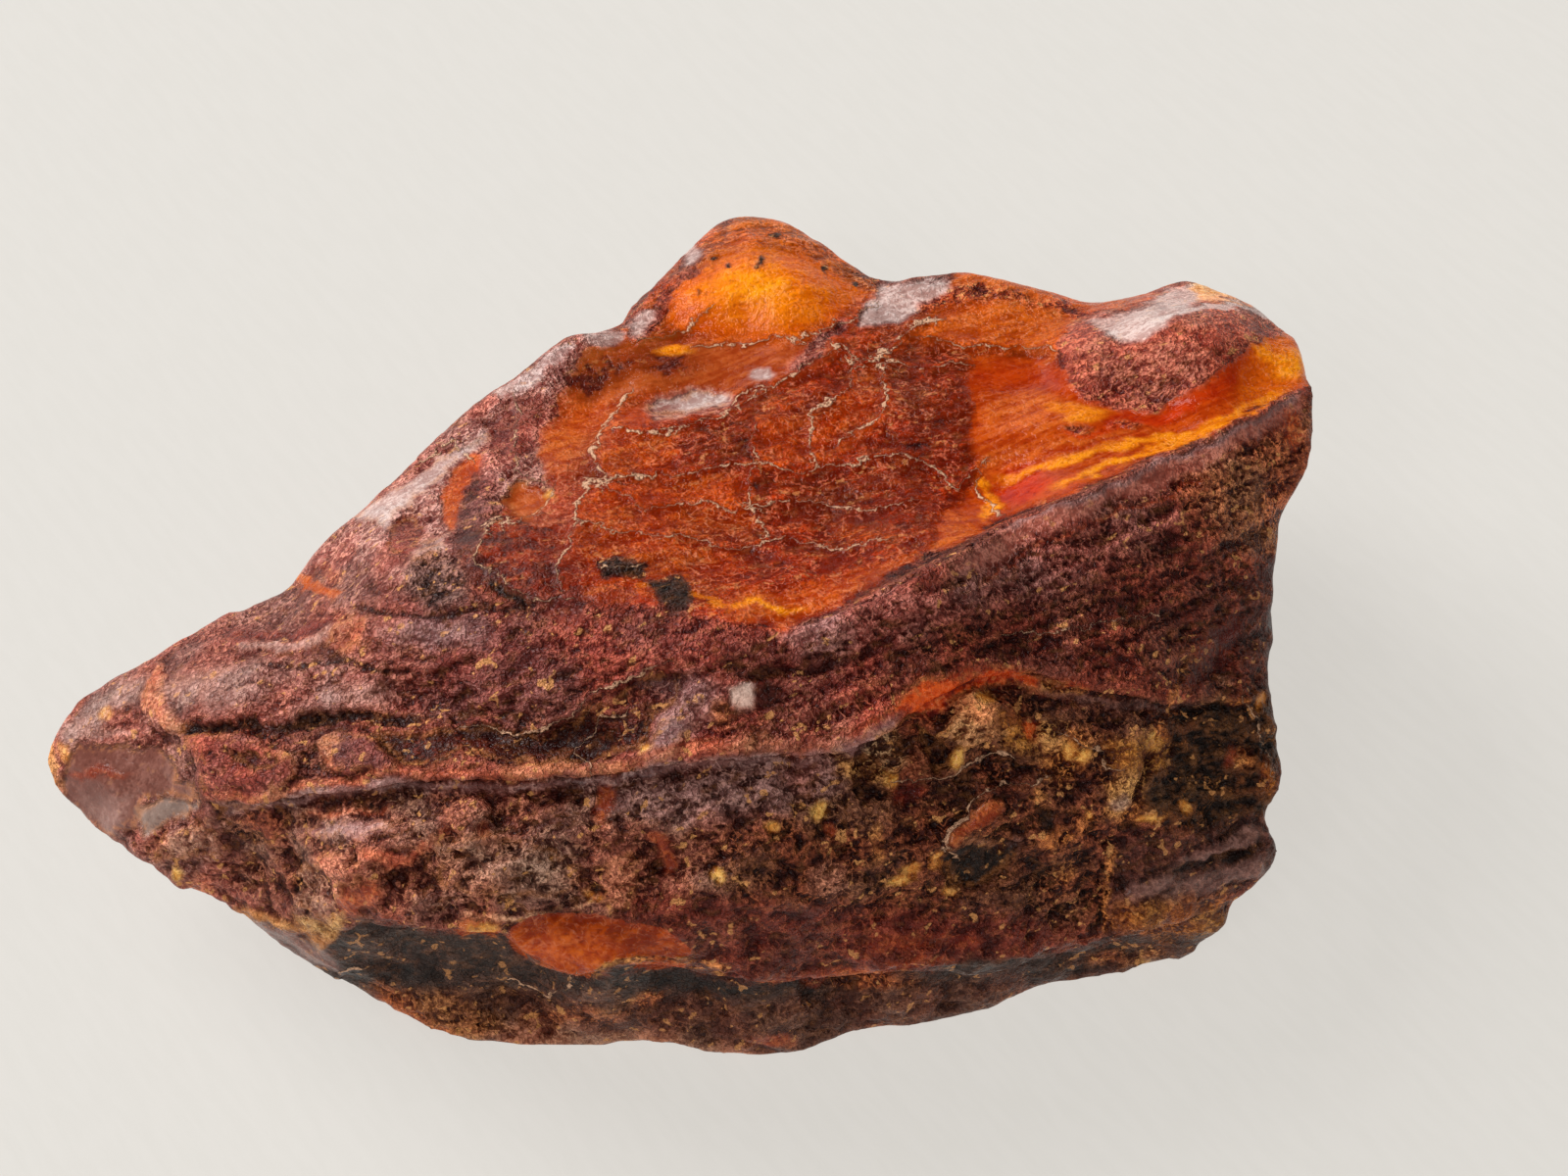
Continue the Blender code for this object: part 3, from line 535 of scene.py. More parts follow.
# Under the rim.
UNDERCUT_MARKS: list[Mark] = [
    Patch(Finish.SLATE, [
        (225, 925), (330, 965), (370, 938), (440, 950), (512, 955), (590, 998), (640, 988),
        (780, 1010), (930, 990), (1090, 970), (1250, 930), (1270, 960), (1090, 1040), (790, 1110),
        (440, 1090), (320, 1000),
    ], 0.5),
    Patch(Finish.LOAM, [
        (340, 1008), (480, 1012), (620, 1015), (800, 1018), (1000, 1000), (1150, 975), (1240, 945),
        (1255, 965), (1100, 1040), (790, 1105), (440, 1090),
    ], 1.2, 0.9),
    Patch(Finish.PINK_LOAM, [
        (440, 1050), (520, 1040), (620, 1050), (700, 1060), (760, 1072), (790, 1100), (600, 1090),
        (450, 1085),
    ], 0.8, 0.9),
    # Painted shadow under the rim's overhang, here and in the next two patches.
    Patch(Finish.MIDNIGHT, [
        (640, 975), (700, 985), (760, 1000), (860, 1000), (760, 1022), (660, 1010), (610, 1000),
    ], 0.8, 0.9),
    Patch(Finish.MIDNIGHT, [
        (330, 972), (350, 985), (440, 985), (440, 1000), (350, 1000), (325, 985),
    ], 0.6, 0.7),
    Patch(Finish.MIDNIGHT, [
        (1040, 992), (1090, 985), (1180, 960), (1240, 945), (1235, 962), (1150, 985), (1060, 1005),
    ], 0.8, 0.8),
    Patch(Finish.FOOT, [
        (380, 1005), (480, 1020), (515, 1050), (450, 1078), (405, 1055),
    ], 0.8),
    # A painted highlight on a glossy band.
    Patch(Finish.RIB_LIGHT, [
        (225, 920), (262, 938), (300, 950), (340, 978), (350, 995), (300, 985), (250, 950),
    ], 0.4, 0.9),
    Patch(Finish.TOPAZ, [
        (1140, 925), (1250, 915), (1262, 935), (1245, 955), (1180, 955), (1130, 945),
    ], 1, 0.7),
    Spot(Finish.FOOT, 1150, 975, 40, 9, 10, 0.8),
    Spot(Finish.FOOT, 885, 1000, 45, 10, 3, 0.9),
    Spot(Finish.FOOT, 590, 1035, 60, 7, 3, 0.6),
    Spot(Finish.FOOT, 660, 1020, 16, 8, 0, 0.8),
    Spot(Finish.EMBER, 790, 1062, 24, 8, 5, 0.7),
    Spot(Finish.AMBER_DROP, 1170, 985, 7, 7, 0, 1, 0.3),
]
# Broken windows in the crust.
WINDOW_MARKS: list[Mark] = [
    Patch(Finish.PLATE_RED, [
        (640, 330), (690, 262), (720, 238), (770, 218), (800, 222), (850, 262), (893, 300),
        (940, 312), (990, 286), (1060, 302), (1110, 316), (1080, 350), (1111, 407), (1170, 423),
        (1235, 383), (1286, 348), (1318, 336), (1338, 352), (1338, 389), (1248, 436), (1181, 457),
        (1128, 487), (1023, 527), (960, 560), (900, 592), (850, 625), (790, 642), (740, 634),
        (650, 622), (560, 600), (500, 560), (480, 520), (540, 470), (560, 430), (590, 380),
        (600, 345),
    ], 1.0),
    Patch(Finish.PLATE_ORANGE, [
        (592, 505), (610, 492), (700, 486), (765, 486), (775, 540), (740, 612), (650, 612),
        (600, 600), (588, 556),
    ], 0.6, 0.95),
    Patch(Finish.PLATE_GARNET, [
        (690, 455), (750, 425), (765, 440), (768, 475), (720, 480), (690, 478),
    ], 0.6, 0.9),
    Patch(Finish.PLATE_ORANGE, [
        (775, 430), (830, 424), (850, 412), (885, 376), (902, 385), (902, 430), (870, 455),
        (840, 472), (775, 472),
    ], 0.6, 0.9),
    Patch(Finish.PLATE_GARNET, [
        (905, 350), (985, 362), (990, 440), (1002, 474), (975, 500), (940, 470), (900, 455),
        (902, 400),
    ], 0.8, 0.9),
    Patch(Finish.PLATE_GARNET, [
        (830, 480), (938, 474), (975, 505), (960, 540), (900, 560), (840, 545), (790, 520),
    ], 1, 0.7),
    Patch(Finish.PLATE_GARNET, [
        (700, 545), (800, 545), (850, 560), (800, 590), (720, 600),
    ], 1.2, 0.6),
    Patch(Finish.PLATE_ORANGE, [
        (612, 442), (640, 436), (690, 444), (686, 478), (622, 484), (605, 462),
    ], 0.5, 0.9),
    Spot(Finish.PLATE_DARK, 775, 505, 13, 26, 0, 0.8),
    Spot(Finish.PLATE_DARK, 850, 505, 45, 16, 5, 0.7),
    Spot(Finish.PLATE_DARK, 722, 452, 20, 10, 0, 0.6),
    Spot(Finish.PLATE_DARK, 940, 400, 30, 16, 0, 0.6),
    Spot(Finish.PLATE_DARK, 930, 470, 24, 10, 20, 0.6),
    Spot(Finish.PLATE_ORANGE, 720, 575, 40, 14, 0, 0.8),
    Spot(Finish.PLATE_ORANGE, 880, 545, 30, 10, -10, 0.7),
    Spot(Finish.PLATE_ORANGE, 655, 470, 16, 8, 0, 0.8),
    Patch(Finish.LEFT_RED, [
        (590, 360), (640, 430), (605, 470), (590, 520), (580, 600), (520, 590), (486, 560),
        (500, 520), (530, 500), (545, 470), (520, 455), (540, 410),
    ], 1.2, 0.9),
    Patch(Finish.FLAME, [
        (590, 400), (630, 405), (610, 440), (590, 470), (545, 480), (530, 460), (560, 440),
    ], 1.2, 0.9),
    Patch(Finish.FLAME, [
        (590, 425), (640, 405), (640, 440), (605, 450),
    ], 1.0, 0.5),
    Patch(Finish.TROUGH, [
        (585, 360), (640, 346), (750, 346), (860, 350), (820, 378), (782, 394), (740, 402),
        (690, 400), (640, 408), (600, 405),
    ], 1.0),
    Patch(Finish.TROUGH_SHADE, [
        (585, 368), (640, 352), (700, 356), (720, 372), (690, 388), (640, 384), (600, 410),
        (578, 400),
    ], 1.0, 0.95),
    Patch(Finish.TROUGH_SHADE, [
        (530, 455), (548, 440), (552, 470), (548, 485), (530, 475),
    ], 0.6, 0.7),
    Spot(Finish.EMBER, 555, 413, 20, 7, -35, 0.9),
    Patch(Finish.AMBER, [
        (668, 325), (690, 285), (715, 258), (745, 240), (790, 242), (830, 262), (866, 285),
        (889, 302), (861, 320), (815, 345), (769, 349), (723, 345), (688, 335),
    ], 0.9),
    Patch(Finish.HONEY, [
        (700, 300), (725, 272), (760, 262), (810, 268), (845, 290), (835, 318), (800, 330),
        (750, 325), (715, 320),
    ], 1.5),
    Spot(Finish.HONEY_LIGHT, 765, 290, 38, 18, 10, 0.9),
    Patch(Finish.DOME_CAP, [
        (690, 280), (715, 250), (760, 216), (800, 220), (860, 262), (893, 300), (862, 284),
        (812, 256), (762, 243), (722, 266),
    ], 0.9, 0.95),
    Patch(Finish.RED_ROSE, [
        (640, 345), (665, 318), (690, 280), (700, 262), (715, 245), (722, 262), (700, 285),
        (682, 312), (668, 335), (650, 350),
    ], 0.5, 0.8),
    # Painted sheen on the dome's edges, here and in the next two patches.
    Patch(Finish.PEARL, [
        (698, 272), (700, 258), (712, 250), (716, 258), (706, 270),
    ], 0.3, 0.8),
    Patch(Finish.PEARL, [
        (645, 345), (640, 330), (652, 318), (668, 316), (664, 330), (655, 340),
    ], 0.3, 0.8),
    Patch(Finish.PEARL, [
        (580, 352), (600, 340), (640, 340), (632, 350), (600, 354),
    ], 0.3, 0.8),
    Spot(Finish.GOLD, 688, 357, 18, 5, 5, 1),
    Patch(Finish.SADDLE, [
        (925, 345), (960, 318), (1010, 305), (1060, 312), (1105, 322), (1082, 345), (1074, 362),
        (1044, 358), (983, 354),
    ], 0.8),
    Patch(Finish.TAWNY_RED, [
        (930, 305), (985, 276), (1045, 292), (1112, 314), (1100, 326), (1040, 310), (985, 306),
        (940, 322),
    ], 0.5, 0.9),
    Patch(Finish.SADDLE, [
        (955, 296), (985, 266), (1045, 278), (1112, 298), (1150, 300), (1180, 285), (1185, 298),
        (1150, 316), (1112, 316), (1045, 298), (985, 288),
    ], 0.4, 0.85),
    # Painted sheen along the back rim.
    Patch(Finish.PEARL, [
        (876, 334), (884, 318), (890, 303), (897, 291), (927, 287), (970, 283), (966, 295),
        (944, 310), (913, 328), (893, 335),
    ], 0.3, 0.85),
    Patch(Finish.ROSE_RIM, [
        (800, 375), (815, 362), (835, 345), (862, 328), (858, 340), (840, 358), (820, 374),
    ], 0.3, 0.8),
    Patch(Finish.BOWL, [
        (986, 362), (1074, 364), (1111, 407), (1170, 423), (1235, 383), (1286, 348), (1318, 336),
        (1338, 354), (1342, 389), (1296, 409), (1248, 436), (1181, 457), (1128, 487), (1074, 508),
        (1023, 527), (985, 548), (962, 560), (950, 545), (975, 515), (994, 496), (1002, 474),
        (988, 445),
    ], 0.5),
    Patch(Finish.BOWL_RED, [
        (1140, 420), (1175, 425), (1225, 395), (1270, 372), (1262, 400), (1200, 425), (1150, 440),
        (1120, 435),
    ], 0.8, 0.95),
    Patch(Finish.BOWL_RED, [
        (988, 375), (1070, 372), (1100, 400), (1040, 395), (1000, 395),
    ], 0.8, 0.6),
    Patch(Finish.AMBER, [
        (1262, 385), (1290, 350), (1318, 340), (1338, 354), (1340, 388), (1300, 404), (1262, 412),
    ], 0.8, 0.95),
    Spot(Finish.GOLD, 1318, 372, 22, 14, 25, 0.9),
    Spot(Finish.GOLD, 1290, 360, 24, 8, -30, 0.7),
    Patch(Finish.FLAME, [
        (1000, 405), (1080, 402), (1110, 425), (1060, 440), (1005, 440),
    ], 0.8, 0.8),
    Spot(Finish.GOLD, 1100, 420, 34, 9, -5, 0.6),
    Patch(Finish.FLAME, [
        (995, 455), (1080, 450), (1180, 440), (1120, 465), (1050, 482), (1000, 486),
    ], 0.8, 0.8),
    Spot(Finish.HOT, 1044, 498, 30, 12, 15),
    Spot(Finish.HOT, 1042, 478, 26, 6, 10, 0.7),
    Stroke(Finish.GOLD, [
        (1020, 490), (1073, 476), (1128, 458), (1193, 447), (1240, 433), (1315, 399),
    ], 4, 0.8),
    Stroke(Finish.GOLD, [
        (1073, 497), (1128, 476), (1180, 458), (1235, 440),
    ], 3, 0.9),
    Stroke(Finish.GOLD, [
        (1000, 533), (1017, 513), (997, 487),
    ], 4, 0.9),
    Stroke(Finish.HOT, [
        (1085, 445), (1130, 440), (1180, 432), (1225, 415),
    ], 3, 0.7),
    Stroke(Finish.BOWL_RED, [
        (1065, 462), (1120, 456), (1175, 444),
    ], 3, 0.6),
    Spot(Finish.TAWNY_RED, 1096, 438, 14, 4, 5, 0.9),
    Spot(Finish.TAWNY_RED, 1150, 437, 14, 4, -5, 0.9),
    Patch(Finish.FLAME, [
        (950, 560), (975, 520), (1000, 540), (1015, 530), (985, 550), (962, 562),
    ], 0.5, 0.9),
]
# The thumb.
THUMB_MARKS: list[Mark] = [
    Patch(Finish.THUMB, [
        (1079, 354), (1090, 332), (1111, 320), (1144, 320), (1180, 300), (1215, 284), (1275, 296),
        (1325, 328), (1340, 352), (1318, 338), (1288, 346), (1235, 381), (1208, 405), (1170, 418),
        (1144, 421), (1128, 410), (1111, 405), (1090, 386),
    ], 0.5),
    # Painted sheen on the thumb's top, here and in the next two marks.
    Patch(Finish.PEARL, [
        (1110, 325), (1150, 318), (1185, 300), (1215, 290), (1235, 300), (1200, 318), (1170, 345),
        (1140, 350),
    ], 0.35, 0.7),
    Patch(Finish.PEARL, [
        (1128, 338), (1150, 326), (1180, 318), (1200, 322), (1185, 338), (1160, 350), (1140, 350),
    ], 0.3, 0.75),
    Stroke(Finish.PEARL, [
        (1176, 327), (1208, 315), (1256, 311), (1296, 322), (1331, 340), (1342, 359),
    ], 3, 0.7, 0.15),
    Patch(Finish.THUMB_EDGE, [
        (1216, 290), (1240, 284), (1275, 298), (1300, 318), (1262, 308), (1222, 304),
    ], 0.4),
    Stroke(Finish.AMBER, [
        (1255, 300), (1300, 318), (1338, 345), (1342, 380),
    ], 4, 0.9),
]
# The snout's flakes.
SNOUT_FLAKES: list[Mark] = [
    Patch(Finish.SNOUT_FACET, [
        (72, 760), (110, 762), (160, 765), (178, 775), (182, 795), (200, 802), (204, 815),
        (180, 812), (150, 815), (142, 845), (110, 850), (84, 838), (66, 820), (60, 800), (70, 780),
    ], 0.4, 1, -0.2),
    Patch(Finish.FACET_PINK, [
        (84, 818), (140, 812), (142, 842), (112, 845), (86, 834),
    ], 0.8, 0.8),
    Spot(Finish.EMBER, 100, 790, 30, 5, 0, 0.6),
    Patch(Finish.GREY, [
        (58, 748), (100, 705), (150, 688), (146, 715), (120, 722), (100, 745), (140, 752),
        (70, 758),
    ], 0.5, 0.85),
    Patch(Finish.TOPAZ_LIGHT, [
        (40, 765), (52, 760), (60, 790), (58, 815), (44, 800),
    ], 0.5),
    Spot(Finish.AMBER_DROP, 108, 728, 9, 8, 0, 0.7),
    Spot(Finish.AMBER_DROP, 66, 766, 6, 10, 30, 0.6),
    Patch(Finish.ORANGE_ROSE, [
        (160, 678), (150, 692), (144, 705), (150, 725), (160, 742), (188, 752), (196, 742),
        (172, 728), (160, 708), (168, 690),
    ], 0.4, 0.9, 0.4),
    Patch(Finish.RED_LUMP, [
        (190, 752), (205, 748), (235, 750), (262, 757), (290, 765), (305, 775), (300, 790),
        (285, 802), (262, 812), (250, 818), (225, 820), (208, 812), (202, 800), (205, 785),
        (200, 770), (192, 762),
    ], 0.3, 1, 0.6),
    Patch(Finish.DISH, [
        (232, 766), (288, 767), (285, 783), (258, 790), (240, 778),
    ], 0.5, 0.9, -0.6),
    Patch(Finish.DISH, [
        (328, 757), (345, 748), (365, 746), (382, 750), (392, 765), (405, 775), (412, 780),
        (400, 790), (375, 785), (345, 787), (335, 780), (333, 768),
    ], 0.3, 0.9, 0.6),
    Stroke(Finish.ORANGE_ROSE, [
        (345, 750), (332, 760), (335, 778), (345, 787),
    ], 4, 0.9, 0.1),
    Stroke(Finish.ORANGE_ROSE, [
        (250, 816), (285, 802), (302, 788), (303, 775), (285, 764),
    ], 3, 0.8, 0.1),
    Patch(Finish.FACET_GREY, [
        (143, 826), (158, 818), (185, 814), (206, 818), (190, 831), (172, 838), (158, 847),
        (147, 851),
    ], 0.25, 1, -0.2),
    Patch(Finish.ROSE_LIGHT, [
        (150, 870), (175, 848), (190, 842), (210, 838), (220, 848), (235, 865), (225, 878),
        (190, 876), (160, 880),
    ], 0.4, 0.9, 0.4),
    Patch(Finish.UMBER_ROSE, [
        (218, 822), (290, 825), (295, 840), (280, 860), (265, 862), (245, 852), (220, 840),
    ], 0.5, 0.9, -0.3),
    Stroke(Finish.ORANGE_ROSE, [
        (305, 829), (350, 832), (385, 828), (400, 821),
    ], 2.5, 0.8),
    Stroke(Finish.SALMON, [
        (368, 872), (400, 877), (420, 875), (440, 862), (450, 850), (460, 842),
    ], 5, 0.9, 0.2),
    Patch(Finish.ROSE_LIGHT, [
        (295, 900), (330, 868), (355, 872), (368, 885), (365, 900), (350, 905), (345, 925),
        (330, 938), (310, 930), (298, 915),
    ], 0.5, 0.9, 0.5),
    # A dark spot sunk into the skin: painted shade in a pit.
    Spot(Finish.UMBER, 306, 905, 6, 10, 0, 1, -0.5),
    Patch(Finish.EMBER, [
        (350, 905), (385, 900), (392, 912), (375, 928), (350, 940), (340, 930),
    ], 0.5, 0.8),
    Spot(Finish.AMBER_DROP, 182, 892, 8, 7, 0, 0.9, 0.3),
    Patch(Finish.SALMON, [
        (188, 905), (205, 895), (222, 905), (218, 918), (195, 914),
    ], 0.4, 0.8),
    Patch(Finish.TOPAZ_LIGHT, [
        (238, 925), (290, 936), (330, 938), (352, 935), (345, 955), (325, 972), (312, 952),
        (262, 940),
    ], 0.3, 0.9, 0.3),
    Stroke(Finish.GREY, [
        (238, 662), (262, 656), (280, 662), (300, 658), (320, 652), (345, 640), (365, 632),
    ], 5, 0.8, 0.25),
    Stroke(Finish.GARNET_RED, [
        (235, 655), (262, 646), (300, 648), (345, 628),
    ], 4, 0.8),
    # A dark line sunk under the ridge: painted shade.
    Stroke(Finish.COAL, [
        (262, 676), (290, 679), (340, 677), (420, 684),
    ], 2, 0.8, -0.3),
    Patch(Finish.SALMON, [
        (330, 650), (345, 630), (360, 622), (374, 628), (365, 652), (350, 668),
    ], 0.4, 0.8, 0.2),
    Patch(Finish.GREY, [
        (160, 700), (190, 684), (260, 676), (255, 705), (240, 720), (190, 722), (165, 725),
    ], 1.0, 0.7),
    Patch(Finish.GREY, [
        (322, 700), (400, 690), (405, 712), (370, 722), (330, 718),
    ], 1.0, 0.6),
]
# The groove and the hollow over the ledge.
GROOVE_MARKS: list[Mark] = [
    # The long groove, sunk and painted dark: painted shade.
    Stroke(Finish.COAL, [
        (185, 747), (230, 742), (280, 743), (330, 733), (380, 729), (440, 735),
    ], 6, 0.8, -0.7),
    # Painted shade in the sunk hollow over the ledge.
    Patch(Finish.HOLLOW, [
        (380, 748), (392, 744), (440, 746), (480, 742), (500, 740), (520, 747), (556, 751),
        (585, 738), (600, 720), (622, 712), (640, 700), (650, 692), (668, 685), (690, 686),
        (698, 694), (695, 710), (680, 725), (668, 732), (660, 742), (655, 760), (640, 765),
        (600, 778), (520, 778), (490, 770), (480, 765), (460, 775), (440, 780), (415, 780),
        (404, 770), (395, 760),
    ], 0.8, 1, -0.5),
    Patch(Finish.MULBERRY, [
        (600, 720), (640, 705), (690, 690), (694, 708), (665, 730), (640, 735), (614, 735),
    ], 0.6, 0.7),
    # Painted sheen by the ledge's lip.
    Patch(Finish.HEATHER, [
        (655, 782), (662, 752), (672, 738), (690, 728), (700, 740), (690, 765), (676, 776),
    ], 0.5, 0.8, 0.3),
    Spot(Finish.AMBER_DROP, 656, 762, 5, 6, 0, 0.9),
    # Painted sheen.
    Patch(Finish.HEATHER, [
        (645, 690), (700, 690), (740, 700), (735, 735), (700, 760), (672, 735), (690, 712),
    ], 1, 0.6),
    Patch(Finish.SALMON, [
        (512, 783), (540, 778), (600, 781), (640, 776), (656, 782), (625, 790), (560, 792),
        (520, 797),
    ], 0.4, 0.9, 0.3),
    Stroke(Finish.SALMON, [
        (210, 812), (250, 814), (300, 806), (346, 797), (397, 789), (463, 792), (520, 790),
    ], 4, 0.75, 0.2),
    Stroke(Finish.SALMON, [
        (640, 782), (657, 772), (700, 764), (740, 764), (782, 757), (815, 766), (841, 762),
        (866, 748),
    ], 6, 0.85, 0.1),
    Stroke(Finish.EMBER, [
        (866, 750), (900, 733), (930, 715),
    ], 5, 0.9, 0.1),
    # A painted highlight along the lip under the ledge line.
    Stroke(Finish.LAVENDER, [
        (212, 824), (250, 826), (300, 818), (340, 809), (400, 802), (440, 806), (480, 805),
        (520, 803), (545, 799), (600, 803), (640, 794), (660, 786), (740, 777), (800, 778),
        (850, 772),
    ], 5, 0.8),
    Patch(Finish.EMBER, [
        (612, 806), (625, 802), (634, 812), (626, 826), (614, 838), (606, 828),
    ], 0.3, 0.95),
    Spot(Finish.ORANGE_ROSE, 617, 840, 6, 5, 0, 0.8),
    Patch(Finish.EMBER, [
        (664, 848), (674, 846), (682, 862), (690, 880), (680, 892), (672, 878),
    ], 0.3, 0.95),
    Spot(Finish.EMBER, 495, 853, 10, 14, 0, 0.85),
    Patch(Finish.TAN_GREY, [
        (440, 862), (500, 850), (560, 865), (590, 885), (585, 910), (520, 920), (450, 905),
    ], 1, 0.7, 0.3),
    Spot(Finish.TAN_GREY, 556, 892, 30, 14, 0, 0.9),
    # A dark spot sunk into the skin: painted shade in a pit.
    Spot(Finish.COAL, 610, 908, 9, 9, 0, 0.9, -0.4),
    Patch(Finish.PALE, [
        (620, 872), (648, 870), (652, 900), (642, 925), (622, 932), (614, 905),
    ], 0.6, 0.9, 0.3),
    Spot(Finish.AMBER_DROP, 730, 893, 8, 6, 0, 0.9),
    Spot(Finish.AMBER_DROP, 788, 844, 10, 7, 0, 0.9),
    Spot(Finish.TAN_GREY, 845, 898, 20, 18, 0, 0.8),
]
# The middle crust and its facet.
MIDDLE_MARKS: list[Mark] = [
    Patch(Finish.RED_ROSE, [
        (790, 765), (800, 725), (860, 700), (930, 692), (960, 700), (930, 722), (880, 747),
        (840, 767),
    ], 1, 0.9),
    # A painted reflection on the small smooth facet.
    Patch(Finish.WHITE_FACET, [
        (744, 701), (770, 695), (774, 712), (772, 722), (755, 725), (745, 716),
    ], 0.3, 1),
    # Painted shade in the hollow next to the facet.
    Patch(Finish.HOLLOW, [
        (775, 696), (800, 703), (798, 720), (778, 726), (774, 710),
    ], 0.5, 0.9),
    Patch(Finish.OCHRE, [
        (728, 716), (745, 716), (752, 728), (745, 745), (732, 745), (725, 730),
    ], 0.6, 0.9),
    Patch(Finish.OCHRE, [
        (760, 742), (785, 735), (780, 765), (755, 770),
    ], 0.8, 0.6),
    # A sunk line painted with shade.
    Stroke(Finish.HOLLOW, [
        (735, 680), (780, 690), (830, 682), (880, 670), (900, 667),
    ], 6, 0.7, -0.4),
]
